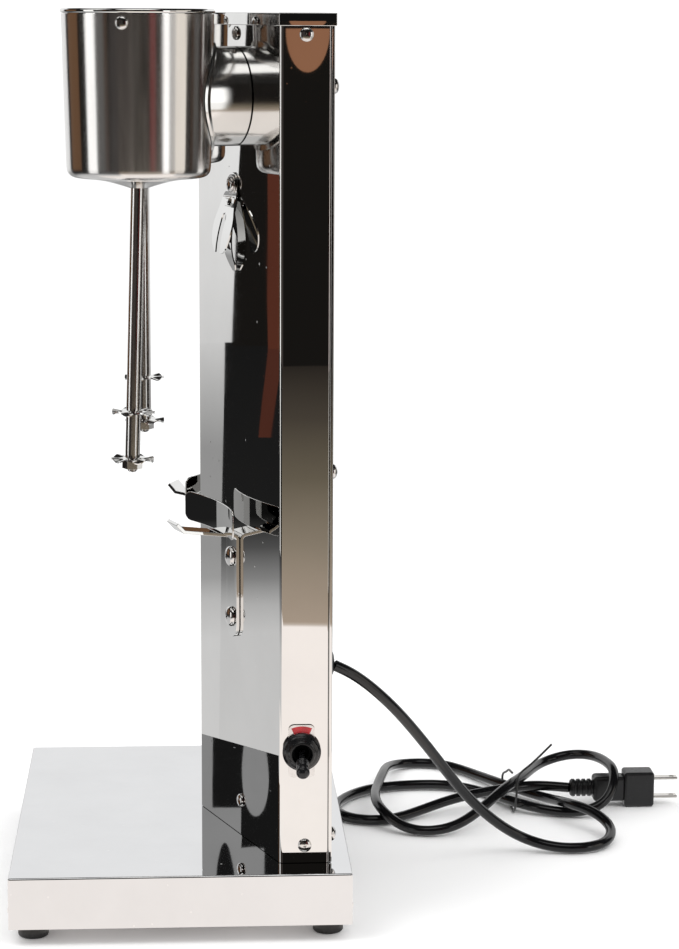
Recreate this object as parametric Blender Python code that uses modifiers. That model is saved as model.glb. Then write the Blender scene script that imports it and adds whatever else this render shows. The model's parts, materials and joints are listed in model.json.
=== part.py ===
"""Double-head milkshake mixer, modelled as separate sub-parts.

The machine stands on the floor plane z = 0 with the centre of its footprint at the origin.
Its heads face -Y, the mains lead leaves the back (+Y), and +X is its right-hand side.
All driving dimensions are millimetres; MM turns them into Blender's metres.
"""
import math

import bmesh
import bpy
import numpy as np
from mathutils import Matrix, Vector

MM = 0.001
GAP = 0.3                      # clearance left between touching pieces

# Base
BASE_WIDTH = 266.0             # along X
BASE_DEPTH = 195.0             # along Y
BASE_TOP = 40.2
FOOT_HEIGHT = 10.0
FOOT_RADIUS = 9.0
FOOT_INSET = 20.0              # foot centre from the base's sides
SHEET = 1.2                    # cover sheet thickness

# Column: a V-shaped plan with two flat front faces that meet in a ridge
COL_HALF_WIDTH = 112.8
COL_RIDGE_Y = 12.9
COL_EDGE_Y = 56.8              # where a front face folds into the side strip
COL_REAR_Y = 86.5
COL_TOP = 521.2
CAP_SKIRT = 5.8
CAP_SHEET = 0.8
REAR_PLATE = 2.0

# Heads, each standing off one front face on a round neck
FACE_CENTRE = 54.5             # from the ridge, along the face
HEAD_STANDOFF = 57.7           # spindle axis from the face
NECK_Z = 474.3
NECK_RADIUS = 28.0
HEAD_TOP_RADIUS = 42.5
HEAD_BOTTOM_RADIUS = 40.3
HEAD_TOP = 520.2
HEAD_BOTTOM = 430.0
HEAD_SHEET = 1.0
LID_TOP = 523.6

# Spindles and their agitators
SHAFT_RADIUS = 3.4
SPINDLE_RADIUS = 4.2
SPINDLE_TOP = 425.4
ROD_RADIUS = 2.6
ROD_BOTTOM = 261.8
DISC_UPPER_Z = 296.4
DISC_LOWER_Z = 269.2
DISC_RADIUS = 12.2
DISC_THICKNESS = 0.9
DISC_WAVES = 6
DISC_LIFT = 1.0                # height of its rim's waves
LEAN_PIVOT_Z = 440.0
RIGHT_SPINDLE_LEAN = 1.7       # degrees; the right spindle hangs slightly towards the front

# Cup holders on the faces
CLIP_Z = 424.5
CLIP_LEAF_TIP = 385.5
STRAP_WIDTH = 15.5
STRAP_BOTTOM = 159.5
STRAP_BEND_Z = 221.8            # top of the bar where it leaves the strap
BRACKET_SCREW_Z = (171.7, 207.7)
BAR_REACH = 34.0
LIP_REACH = 38.2
LIP_RISE = 4.6
BAND_WIDTH = 74.0
BAND_HEIGHT = 17.4
BAR_RISE = math.tan(math.radians(8.5))

# Toggle switches on the side strips
SWITCH_Y = 69.1
SWITCH_Z = 107.0
LEVER_LENGTH = 22.0
LEVER_DROOP = 24.0             # degrees below level at rest

# Mains lead
GLAND_X = 70.0
GLAND_Z = 147.5
CORD_RADIUS = 3.25
CORD_SPACING = 14.0            # between the tube's rings
# The lead leaves the gland, drops to the floor and lies in two loops, tied near their crossing
CORD_ROUTE = (
    (70, 90.3, 146), (68, 99.6, 140.9), (58, 119.2, 123.6), (40, 139.2, 98.6), (20, 158, 71.2),
    (2, 176.2, 45.2), (-12, 195.2, 24.4), (-21.3, 215.3, 9.5), (-18, 236.6, 4), (-18, 258.2, 4),
    (-28.6, 270, 4.5), (-48, 274.6, 7.5), (-62.6, 267.2, 11.8), (-80.8, 254.4, 12.4),
    (-118.2, 241.8, 5.6), (-141.6, 224.4, 5.3), (-182.6, 200, 3.7), (-205.6, 177, 3.7),
    (-204.5, 153.6, 4.2), (-163, 137.8, 10.6), (-124, 130.4, 11.6), (-78, 130.5, 11.2),
    (-61.8, 143.3, 5), (-55.7, 158, 3.7), (-58.6, 176, 6), (-72.7, 195.2, 13), (-94.7, 213.4, 19.8),
    (-124, 230, 19.8), (-156.8, 248.4, 19), (-160, 263, 22), (-151, 277, 24.6), (-126, 286, 26),
    (-112.5, 287.3, 25), (-101, 285.6, 19.8), (-92.8, 278.8, 10.5), (-90, 263.5, 4.4),
    (-94, 244.5, 3.7),
    (-103.4, 226, 5.4), (-130, 209.6, 3.7), (-152.8, 184.4, 3.7), (-156.2, 156.8, 3.7),
    (-147.5, 128, 3.7), (-127.8, 109.3, 3.7), (-104.5, 102.5, 3.7), (-85.4, 110.7, 3.7),
    (-79.8, 130.7, 3.7), (-93.2, 154.2, 4.5), (-105, 179.3, 9), (-111.5, 199.7, 11.4),
    (-117.8, 217.2, 12.2), (-122.7, 236, 12.2), (-118, 258.7, 12),
)
# The twist tie's wire: its tail, once round the crossing strands, and its short end
TIE_ROUTE = (
    (-125, 247.6, 40), (-121, 239.5, 33.5), (-115, 231, 28), (-107, 224.5, 25.6), (-99, 221.5, 22),
    (-95.5, 220.6, 14), (-97, 220.2, 6), (-101, 220, 1.6), (-106, 219.8, 0.8), (-127, 219.6, 0.8),
    (-150, 219.4, 0.8), (-156.5, 219.2, 2.5), (-157.5, 219, 7), (-152, 218.8, 12),
    (-132, 218.4, 19.5), (-117, 218, 25.2), (-108, 217.8, 27.2), (-99, 218, 28.5),
)
TIE_RADIUS = 0.6
PLUG_X = -118.0
PLUG_Z = 12.0
PLUG_START_Y = 259.0

# The right-hand face: its unit directions along the face and out of it, in plan
FACE_LENGTH = math.hypot(COL_HALF_WIDTH, COL_EDGE_Y - COL_RIDGE_Y)
ALONG = Vector((COL_HALF_WIDTH, COL_EDGE_Y - COL_RIDGE_Y, 0.0)) / FACE_LENGTH
OUT = Vector((ALONG.y, -ALONG.x, 0.0))
RIDGE = Vector((0.0, COL_RIDGE_Y, 0.0))


def face_point(along, out, z):
    """A point from its distance along the right-hand face, off it and above the floor."""
    return RIDGE + ALONG * along + OUT * out + Vector((0.0, 0.0, z))


HEAD_AXIS = face_point(FACE_CENTRE, HEAD_STANDOFF, 0.0)


# ---------------------------------------------------------------- scene and materials

def clear_scene():
    for obj in list(bpy.data.objects):
        bpy.data.objects.remove(obj, do_unlink=True)


def make_collection(name):
    collection = bpy.data.collections.new(name)
    bpy.context.scene.collection.children.link(collection)
    return collection


def make_material(name, colour, roughness, metallic):
    material = bpy.data.materials.new(name)
    material.use_nodes = True
    shader = material.node_tree.nodes["Principled BSDF"]
    shader.inputs["Base Color"].default_value = (*colour, 1.0)
    shader.inputs["Roughness"].default_value = roughness
    shader.inputs["Metallic"].default_value = metallic
    material.diffuse_color = (*colour, 1.0)
    return material


FINISHES = {
    "steel": ((0.62, 0.61, 0.60), 0.12, 1.0),
    "satin": ((0.55, 0.55, 0.54), 0.30, 1.0),
    "zinc": ((0.45, 0.45, 0.46), 0.40, 1.0),
    "copper": ((0.60, 0.30, 0.16), 0.35, 1.0),
    "brass": ((0.70, 0.52, 0.25), 0.30, 1.0),
    "rubber": ((0.02, 0.02, 0.02), 0.60, 0.0),
    "plastic": ((0.03, 0.03, 0.03), 0.40, 0.0),
    "red": ((0.60, 0.03, 0.03), 0.40, 0.0),
}


# ---------------------------------------------------------------- shape helpers

def finish_part(obj, name, finish):
    """Names the object, gives it its own material and puts it with the parts."""
    obj.name = name
    obj.data.name = name
    obj.data.materials.clear()
    obj.data.materials.append(make_material(name + "_" + finish, *FINISHES[finish]))
    for collection in list(obj.users_collection):
        collection.objects.unlink(obj)
    PARTS.objects.link(obj)
    if obj.type == "MESH":
        obj.data.shade_smooth()
        obj.data.set_sharp_from_angle(angle=math.radians(35))
    return obj


def new_object(name, data):
    obj = bpy.data.objects.new(name, data)
    bpy.context.scene.collection.objects.link(obj)
    return obj


def from_bmesh(bm, name):
    bmesh.ops.recalc_face_normals(bm, faces=bm.faces)
    mesh = bpy.data.meshes.new(name)
    bm.to_mesh(mesh)
    bm.free()
    return new_object(name, mesh)


def box(size, centre, bevel=0.0, top_only=False, segments=3):
    """A box from its size and centre, with its edges rounded where a bevel is given."""
    bm = bmesh.new()
    bmesh.ops.create_cube(bm, size=1.0)
    bmesh.ops.scale(bm, vec=Vector(size) * MM, verts=bm.verts)
    if bevel:
        edges = [e for e in bm.edges
                 if not top_only or max(v.co.z for v in e.verts) > 0.0]
        bmesh.ops.bevel(bm, geom=edges, offset=bevel * MM, segments=segments, profile=0.5,
                        affect="EDGES")
    bmesh.ops.translate(bm, vec=Vector(centre) * MM, verts=bm.verts)
    return from_bmesh(bm, "box")


def rod(radius, start, end, segments=24, end_radius=None):
    """A cylinder, or a cone where end_radius is given, between two points."""
    start, end = Vector(start) * MM, Vector(end) * MM
    bm = bmesh.new()
    bmesh.ops.create_cone(bm, cap_ends=True, segments=segments, radius1=radius * MM,
                          radius2=(radius if end_radius is None else end_radius) * MM,
                          depth=(end - start).length)
    turn = (end - start).to_track_quat("Z", "Y").to_matrix().to_4x4()
    bmesh.ops.transform(bm, matrix=Matrix.Translation((start + end) / 2) @ turn, verts=bm.verts)
    return from_bmesh(bm, "rod")


def apply_modifiers(obj):
    graph = bpy.context.evaluated_depsgraph_get()
    mesh = bpy.data.meshes.new_from_object(obj.evaluated_get(graph))
    plain = new_object(obj.name, mesh)
    plain.matrix_world = obj.matrix_world
    bpy.data.objects.remove(obj, do_unlink=True)
    return plain


def weld(obj):
    """Joins coincident vertices, as at a curve's loose caps, and points the faces out."""
    bm = bmesh.new()
    bm.from_mesh(obj.data)
    bmesh.ops.remove_doubles(bm, verts=bm.verts, dist=0.00001)
    bmesh.ops.recalc_face_normals(bm, faces=bm.faces)
    bm.to_mesh(obj.data)
    bm.free()
    return obj


def turned(profile, segments=48, closed=False):
    """A turned solid about Z from (radius, z) points that run down its outer side."""
    points = list(profile)
    bm = bmesh.new()
    verts = [bm.verts.new((r * MM, 0.0, z * MM)) for r, z in points]
    for a, b in zip(verts, verts[1:]):
        bm.edges.new((a, b))
    if closed:
        bm.edges.new((verts[-1], verts[0]))
    mesh = bpy.data.meshes.new("turned")
    bm.to_mesh(mesh)
    bm.free()
    obj = new_object("turned", mesh)
    screw = obj.modifiers.new("Screw", "SCREW")
    screw.steps = screw.render_steps = segments
    screw.use_merge_vertices = True
    screw.merge_threshold = 0.00001
    screw.use_normal_calculate = True
    bpy.context.view_layer.update()
    return weld(apply_modifiers(obj))


def ring(outer, inner, z_low, z_high, segments=48):
    return turned([(outer, z_high), (outer, z_low), (inner, z_low), (inner, z_high)],
                  segments, closed=True)


def prism(outline, z_low, z_high, holes=()):
    """A flat outline in XY, raised between two heights; holes are outlines cut through it."""
    curve = bpy.data.curves.new("outline", "CURVE")
    curve.dimensions = "2D"
    curve.fill_mode = "BOTH"
    curve.extrude = (z_high - z_low) / 2 * MM
    for points in (outline, *holes):
        spline = curve.splines.new("POLY")
        spline.points.add(len(points) - 1)
        for point, (x, y) in zip(spline.points, points):
            point.co = (x * MM, y * MM, 0.0, 1.0)
        spline.use_cyclic_u = True
    obj = new_object("outline", curve)
    bpy.context.view_layer.update()
    obj = weld(apply_modifiers(obj))
    obj.data.transform(Matrix.Translation((0.0, 0.0, (z_low + z_high) / 2 * MM)))
    return obj


def circle(x, y, radius, count=24):
    return [(x + radius * math.cos(2 * math.pi * i / count),
             y + radius * math.sin(2 * math.pi * i / count)) for i in range(count)]


def arc(x, y, radius, start, end, count):
    """Points on an arc about (x, y), angles in degrees."""
    return [(x + radius * math.cos(math.radians(a)), y + radius * math.sin(math.radians(a)))
            for a in np.linspace(start, end, count)]


def rounded_rectangle(x_low, y_low, x_high, y_high, radius, count=5):
    return (arc(x_high - radius, y_high - radius, radius, 0, 90, count)
            + arc(x_low + radius, y_high - radius, radius, 90, 180, count)
            + arc(x_low + radius, y_low + radius, radius, 180, 270, count)
            + arc(x_high - radius, y_low + radius, radius, 270, 360, count))


def thick_path(path, thickness):
    """The closed outline of an open path that is thickened on its left-hand side."""
    points = [Vector(p) for p in path]
    inner = []
    for i, point in enumerate(points):
        before = (point - points[i - 1]).normalized() if i else None
        after = (points[i + 1] - point).normalized() if i + 1 < len(points) else None
        before, after = before or after, after or before
        side = Vector((-before.y - after.y, before.x + after.x)).normalized()
        lean = side.dot(Vector((-before.y, before.x)))
        inner.append(point + side * (thickness / lean))
    return [tuple(p) for p in points] + [tuple(p) for p in reversed(inner)]


def place(obj, x_axis, y_axis, origin=(0.0, 0.0, 0.0)):
    """Turns a shape so that its own X and Y lie along two given directions, then moves it."""
    x_axis, y_axis = Vector(x_axis).normalized(), Vector(y_axis).normalized()
    turn = Matrix((x_axis, y_axis, x_axis.cross(y_axis))).transposed().to_4x4()
    obj.data.transform(Matrix.Translation(Vector(origin) * MM) @ turn)
    return obj


def boolean(obj, other, operation):
    modifier = obj.modifiers.new("Boolean", "BOOLEAN")
    modifier.operation = operation
    modifier.solver = "EXACT"
    modifier.object = other
    bpy.context.view_layer.update()
    plain = apply_modifiers(obj)
    bpy.data.objects.remove(other, do_unlink=True)
    return plain


def cut(obj, *cutters):
    for cutter in cutters:
        obj = boolean(obj, cutter, "DIFFERENCE")
    return obj


def fuse(obj, *others):
    for other in others:
        obj = boolean(obj, other, "UNION")
    return obj


def group(*objects):
    """Several separate solids as one object, as for a set of like fasteners."""
    bm = bmesh.new()
    for obj in objects:
        piece = obj.data.copy()
        piece.transform(obj.matrix_world)
        bm.from_mesh(piece)
        bpy.data.meshes.remove(piece)
        bpy.data.objects.remove(obj, do_unlink=True)
    mesh = bpy.data.meshes.new("group")
    bm.to_mesh(mesh)
    bm.free()
    return new_object("group", mesh)


def copied(obj, matrix=None):
    twin = new_object(obj.name, obj.data.copy())
    if matrix is not None:
        twin.data.transform(matrix)
    if matrix is not None and matrix.determinant() < 0:
        twin.data.flip_normals()
    return twin


MIRROR_X = Matrix.Diagonal((-1.0, 1.0, 1.0, 1.0))


def both_sides(obj, name, finish):
    """The right-hand piece and its mirror image, as two named parts."""
    twin = copied(obj, MIRROR_X)
    finish_part(obj, name + "_right", finish)
    finish_part(twin, name + "_left", finish)


def screw_solid(point, outward, head_radius, head_height, shank_radius, shank_length,
                segments=14):
    """A domed screw: its head stands off the surface at point, its shank runs inwards."""
    dome = [(head_radius * math.sin(math.radians(a)),
             GAP + head_height * math.cos(math.radians(a))) for a in (0, 30, 60, 90)]
    profile = dome + [(head_radius, GAP), (shank_radius, GAP), (shank_radius, -shank_length),
                      (0.0, -shank_length)]
    obj = turned(profile, segments)
    outward = Vector(outward).normalized()
    turn = outward.to_track_quat("Z", "Y").to_matrix().to_4x4()
    obj.data.transform(Matrix.Translation(Vector(point) * MM) @ turn)
    return obj


def hole_cutter(point, outward, radius, depth=6.0, segments=16):
    point, outward = Vector(point), Vector(outward).normalized()
    return rod(radius, point - outward * depth, point + outward * depth, segments)


def mirror_points(items):
    """Each (point, direction) pair and its mirror image across the YZ plane."""
    both = []
    for point, direction in items:
        both.append((Vector(point), Vector(direction)))
        both.append((Vector((-point[0], point[1], point[2])),
                     Vector((-direction[0], direction[1], direction[2]))))
    return both


# ---------------------------------------------------------------- base

FOOT_PLACES = [(sx * (BASE_WIDTH / 2 - FOOT_INSET), sy * (BASE_DEPTH / 2 - FOOT_INSET + 7.0))
               for sx in (-1, 1) for sy in (-1, 1)]
RIVET_RADIUS = 1.5
RIVETS = [(Vector((sx * x, sy * BASE_DEPTH / 2, FOOT_HEIGHT + 7.0)), Vector((0.0, sy, 0.0)))
          for sx in (-1, 1) for sy in (-1, 1) for x in (60.0, BASE_WIDTH / 2 - 14.0)]
COLUMN_BOLTS = [(x, y) for x in (-70.0, 70.0) for y in (58.0, 76.0)]
BOLT_RADIUS = 2.4


def build_base():
    height = BASE_TOP - FOOT_HEIGHT
    cover = box((BASE_WIDTH, BASE_DEPTH, height), (0, 0, FOOT_HEIGHT + height / 2), bevel=1.8,
                top_only=True, segments=2)
    cover = cut(cover, box((BASE_WIDTH - 2 * SHEET, BASE_DEPTH - 2 * SHEET, height),
                           (0, 0, FOOT_HEIGHT + height / 2 - SHEET)))
    tools = [hole_cutter(p, d, RIVET_RADIUS + GAP, segments=8) for p, d in RIVETS]
    tools += [rod(BOLT_RADIUS + GAP, (x, y, BASE_TOP - 6), (x, y, BASE_TOP + 6), 8)
              for x, y in COLUMN_BOLTS]
    cover = cut(cover, group(*tools))
    finish_part(cover, "base_cover", "steel")

    inset = SHEET + GAP
    tray_height = 13.0
    tray = box((BASE_WIDTH - 2 * inset, BASE_DEPTH - 2 * inset, tray_height),
               (0, 0, FOOT_HEIGHT + GAP + tray_height / 2))
    wall = SHEET
    tray = cut(tray, box((BASE_WIDTH - 2 * (inset + wall), BASE_DEPTH - 2 * (inset + wall),
                          tray_height), (0, 0, FOOT_HEIGHT + GAP + wall + tray_height / 2)))
    tools = [hole_cutter(p, d, RIVET_RADIUS + GAP, segments=8) for p, d in RIVETS]
    tools += [rod(2.3, (x, y, 5), (x, y, 16), 8) for x, y in FOOT_PLACES]
    tray = cut(tray, group(*tools))
    finish_part(tray, "base_bottom_plate", "zinc")

    for x, y in FOOT_PLACES:
        foot = turned([(2.3, FOOT_HEIGHT), (FOOT_RADIUS, FOOT_HEIGHT), (FOOT_RADIUS, 1.2),
                       (FOOT_RADIUS - 1.0, 0.0), (4.6, 0.0), (4.6, 3.5), (2.3, 3.5)], 20,
                      closed=True)
        foot.data.transform(Matrix.Translation((x * MM, y * MM, 0.0)))
        end, side = "rear" if y > 0 else "front", "right" if x > 0 else "left"
        finish_part(foot, f"foot_{end}_{side}", "rubber")


# ---------------------------------------------------------------- column

FACE_OUT = (OUT.x, OUT.y, 0.0)
TOP_SCREW_Z = 509.6
FACE_SCREWS = [(face_point(FACE_CENTRE + 4.0, 0.0, TOP_SCREW_Z), FACE_OUT),
               (face_point(FACE_CENTRE + 9.0, 0.0, 61.5), FACE_OUT)]
SIDE_SCREWS = [((COL_HALF_WIDTH, 71.0, z), (1.0, 0.0, 0.0)) for z in (50.8, TOP_SCREW_Z)]
REAR_SCREWS = [((98.0, COL_REAR_Y, z), (0.0, 1.0, 0.0)) for z in (53.0, 266.0, 481.5)]
SCREW_SHANK = 1.8
BRACKET_SCREWS = [(face_point(FACE_CENTRE, 2.3, z), FACE_OUT) for z in BRACKET_SCREW_Z]
CLIP_SCREW = (face_point(FACE_CENTRE, 1.1, CLIP_Z), FACE_OUT)
NECK_HOLE = 12.0


def column_outline(grow=0.0, rear_y=COL_REAR_Y):
    """The column's plan, grown outwards by a distance on every side."""
    slant = grow / math.cos(math.atan2(COL_EDGE_Y - COL_RIDGE_Y, COL_HALF_WIDTH))
    slope = (COL_EDGE_Y - COL_RIDGE_Y) / COL_HALF_WIDTH
    edge_y = COL_RIDGE_Y - slant + slope * (COL_HALF_WIDTH + grow)
    right = [(COL_HALF_WIDTH + grow, edge_y), (COL_HALF_WIDTH + grow, rear_y + grow)]
    left = [(-x, y) for x, y in reversed(right)]
    return [(0.0, COL_RIDGE_Y - slant)] + right + left


def build_column():
    low, high = BASE_TOP + GAP, COL_TOP - SHEET - GAP
    rear = COL_REAR_Y - REAR_PLATE - GAP
    flange = 18.0
    path = [(-COL_HALF_WIDTH + flange, rear), (-COL_HALF_WIDTH, rear),
            (-COL_HALF_WIDTH, COL_EDGE_Y), (0.0, COL_RIDGE_Y), (COL_HALF_WIDTH, COL_EDGE_Y),
            (COL_HALF_WIDTH, rear), (COL_HALF_WIDTH - flange, rear)]
    shell = prism(thick_path(path, SHEET), low, high)
    tools = []
    for point, direction in mirror_points(FACE_SCREWS + SIDE_SCREWS + REAR_SCREWS
                                          + BRACKET_SCREWS + [CLIP_SCREW]):
        tools.append(hole_cutter(point, direction, SCREW_SHANK + GAP, segments=8))
    neck = face_point(FACE_CENTRE, 0.0, NECK_Z)
    switch = (COL_HALF_WIDTH, SWITCH_Y, SWITCH_Z)
    for point, direction in mirror_points([(neck, FACE_OUT)]):
        tools.append(hole_cutter(point, direction, NECK_HOLE, segments=20))
    for point, direction in mirror_points([(switch, (1.0, 0.0, 0.0))]):
        tools.append(hole_cutter(point, direction, 6.2, segments=20))
    shell = cut(shell, group(*tools))
    finish_part(shell, "column_shell", "steel")

    plate = box((2 * COL_HALF_WIDTH, REAR_PLATE, high - low),
                (0, COL_REAR_Y - REAR_PLATE / 2, (low + high) / 2), bevel=0.4, segments=1)
    tools = [hole_cutter(p, d, SCREW_SHANK + GAP, segments=8)
             for p, d in mirror_points(REAR_SCREWS)]
    tools.append(hole_cutter((GLAND_X, COL_REAR_Y, GLAND_Z), (0, 1, 0), 6.8, segments=20))
    finish_part(cut(plate, group(*tools)), "column_rear_cover", "steel")

    cap = prism(column_outline(GAP + CAP_SHEET), COL_TOP - SHEET - CAP_SKIRT, COL_TOP)
    cap = cut(cap, prism(column_outline(GAP), COL_TOP - SHEET - CAP_SKIRT - 1, COL_TOP - SHEET))
    finish_part(cap, "column_cap", "steel")

    foot_outline = column_outline(-SHEET - GAP, COL_REAR_Y - REAR_PLATE - GAP)
    foot = prism(foot_outline, low, low + 2.0,
                 holes=[circle(x, y, BOLT_RADIUS + GAP, 8) for x, y in COLUMN_BOLTS])
    finish_part(foot, "column_foot_plate", "zinc")


# ---------------------------------------------------------------- heads

LID_SCREW_ANGLES = (-11.0, 109.0, 229.0)
LID_SCREW_Z = 515.4
SKIRT_RADIUS = HEAD_TOP_RADIUS - HEAD_SHEET - GAP


def head_radius(z):
    """The head's outside radius at a height: it tapers a little towards the bottom."""
    share = (z - HEAD_BOTTOM) / (HEAD_TOP - HEAD_BOTTOM)
    return HEAD_BOTTOM_RADIUS + (HEAD_TOP_RADIUS - HEAD_BOTTOM_RADIUS) * share


def at_head(obj):
    obj.data.transform(Matrix.Translation(HEAD_AXIS * MM))
    return obj


def lid_screw_places():
    places = []
    for angle in LID_SCREW_ANGLES:
        direction = Vector((math.cos(math.radians(angle)), math.sin(math.radians(angle)), 0.0))
        point = HEAD_AXIS + direction * head_radius(LID_SCREW_Z)
        places.append((point + Vector((0, 0, LID_SCREW_Z)), direction))
    return places


def build_head_shell():
    corner = 5.0
    outer = [(head_radius(z), z) for z in (HEAD_TOP, 475.0)]
    outer += arc(HEAD_BOTTOM_RADIUS - corner, HEAD_BOTTOM + corner, corner, 0, -90, 4)
    inner_corner = corner - HEAD_SHEET
    inner = arc(HEAD_BOTTOM_RADIUS - corner, HEAD_BOTTOM + corner, inner_corner, -90, 0, 4)
    inner += [(head_radius(z) - HEAD_SHEET, z) for z in (475.0, HEAD_TOP)]
    shell = at_head(turned(outer + [(7.0, HEAD_BOTTOM), (7.0, HEAD_BOTTOM + HEAD_SHEET)] + inner,
                           40, closed=True))
    tools = [hole_cutter(p, d, 1.5 + GAP, 4.0, 8) for p, d in lid_screw_places()]
    neck = face_point(FACE_CENTRE, 0.0, NECK_Z)
    tools.append(rod(NECK_HOLE, neck + OUT * 8.0, neck + OUT * 30.0, 20))
    both_sides(cut(shell, group(*tools)), "head_shell", "satin")


def build_head_lid():
    rim = HEAD_TOP_RADIUS + 0.7
    base = HEAD_TOP + GAP
    skirt_bottom = 511.5
    profile = [(0.0, LID_TOP), (rim - 3.0, LID_TOP - 0.7)]
    profile += arc(rim - 1.3, base + 1.3, 1.3, 70, -90, 5)
    profile += [(SKIRT_RADIUS, base), (SKIRT_RADIUS, skirt_bottom),
                (SKIRT_RADIUS - 1.0, skirt_bottom), (SKIRT_RADIUS - 1.0, LID_TOP - 2.2),
                (0.0, LID_TOP - 1.2)]
    lid = at_head(turned(profile, 40))
    lid = cut(lid, group(*[hole_cutter(p, d, 1.5 + GAP, 4.0, 8) for p, d in lid_screw_places()]))
    both_sides(lid, "head_lid", "steel")


def build_neck():
    start = face_point(FACE_CENTRE, GAP, NECK_Z)
    end = face_point(FACE_CENTRE, HEAD_STANDOFF - 20.0, NECK_Z)
    neck = rod(NECK_RADIUS, start, end, 36)
    saddle = rod(NECK_RADIUS + 3.2, face_point(FACE_CENTRE, 4.0, NECK_Z), end, 36)
    collar = rod(head_radius(435.0) + 1.9, HEAD_AXIS + Vector((0, 0, 435.0)),
                 HEAD_AXIS + Vector((0, 0, 515.0)), 48, head_radius(515.0) + 1.9)
    saddle = boolean(saddle, collar, "INTERSECT")
    neck = fuse(neck, saddle)
    inside = rod(head_radius(430.0) + GAP, HEAD_AXIS + Vector((0, 0, 430.0)),
                 HEAD_AXIS + Vector((0, 0, 520.0)), 48, head_radius(520.0) + GAP)
    bore = rod(NECK_RADIUS - 1.6, start - OUT * 5.0, end + OUT * 5.0, 28)
    both_sides(cut(neck, inside, bore), "neck", "steel")


def build_motor():
    rod_offset = 34.6
    lower, upper = 441.5, 498.0
    frame = fuse(frame_bar(lower), frame_bar(upper))
    for side in (-1, 1):
        foot = HEAD_AXIS + ALONG * rod_offset * side
        frame = fuse(frame, rod(1.8, foot + Vector((0, 0, HEAD_BOTTOM + HEAD_SHEET + GAP)),
                                foot + Vector((0, 0, upper + 3.0)), 10))
    frame = cut(frame, rod(6.8, HEAD_AXIS + Vector((0, 0, 430)), HEAD_AXIS + Vector((0, 0, 510)),
                           16))
    both_sides(frame, "motor_frame", "zinc")

    stator = turned([(32.0, 484.0), (32.0, 456.0), (30.0, 452.0), (24.0, 449.0), (20.6, 453.0),
                     (20.6, 487.0), (24.0, 491.0), (30.0, 488.0)], 28, closed=True)
    both_sides(at_head(stator), "motor_stator", "copper")

    bearing = at_head(ring(6.5, SHAFT_RADIUS + 0.35, lower - 2.6, lower + 2.6, 16))
    both_sides(bearing, "motor_bearing", "brass")


def frame_bar(z):
    """One of the flat bars that carry the motor's bushes, at a height."""
    bar = box((76.0, 14.0, 3.0), (0, 0, 0), bevel=1.0, segments=1)
    return place(bar, ALONG, -OUT, HEAD_AXIS + Vector((0, 0, z)))


def build_boss():
    boss = turned([(27.0, HEAD_BOTTOM - GAP), (26.6, HEAD_BOTTOM - 1.2), (16.0, 426.6),
                   (5.0, 423.8), (5.0, HEAD_BOTTOM - GAP)], 32, closed=True)
    both_sides(at_head(boss), "spindle_boss", "steel")


# ---------------------------------------------------------------- spindles

def wavy_disc():
    """A thin agitator disc whose rim rises and falls in waves."""
    rings, spokes = 3, 36
    hole = ROD_RADIUS + GAP
    bm = bmesh.new()
    grid = []
    for i in range(rings + 1):
        radius = hole + (DISC_RADIUS - hole) * i / rings
        lift = DISC_LIFT * max(0.0, (radius - 5.0) / (DISC_RADIUS - 5.0))
        row = []
        for j in range(spokes):
            angle = 2 * math.pi * j / spokes
            z = lift * math.sin(DISC_WAVES * angle)
            row.append(bm.verts.new((radius * math.cos(angle) * MM, radius * math.sin(angle) * MM,
                                     z * MM)))
        grid.append(row)
    for inner, outer in zip(grid, grid[1:]):
        for j in range(spokes):
            k = (j + 1) % spokes
            bm.faces.new((inner[j], outer[j], outer[k], inner[k]))
    obj = from_bmesh(bm, "disc")
    solid = obj.modifiers.new("Solidify", "SOLIDIFY")
    solid.thickness = DISC_THICKNESS * MM
    solid.offset = 0.0
    bpy.context.view_layer.update()
    return weld(apply_modifiers(obj))


def rotor_profile():
    return [(0.0, 505.0), (SHAFT_RADIUS, 505.0), (SHAFT_RADIUS, 494.5), (9.0, 494.0),
            (9.0, 488.5), (13.0, 485.5), (18.2, 483.0), (18.2, 457.0), (13.0, 453.5),
            (SHAFT_RADIUS, 452.0), (SHAFT_RADIUS, SPINDLE_TOP + GAP), (0.0, SPINDLE_TOP + GAP)]


def spindle_profile():
    shoulder = DISC_UPPER_Z + DISC_THICKNESS / 2 + GAP
    return [(0.0, SPINDLE_TOP), (3.3, SPINDLE_TOP), (SPINDLE_RADIUS, SPINDLE_TOP - 0.9),
            (SPINDLE_RADIUS, shoulder), (ROD_RADIUS, shoulder), (ROD_RADIUS, ROD_BOTTOM + 0.5),
            (ROD_RADIUS - 0.5, ROD_BOTTOM), (0.0, ROD_BOTTOM)]


def spindle_nut():
    top = DISC_LOWER_Z - DISC_THICKNESS / 2 - GAP
    nut = rod(5.8, (0, 0, top - 4.6), (0, 0, top), 6)
    return cut(nut, rod(ROD_RADIUS + GAP, (0, 0, top - 8), (0, 0, top + 3), 16))


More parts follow.
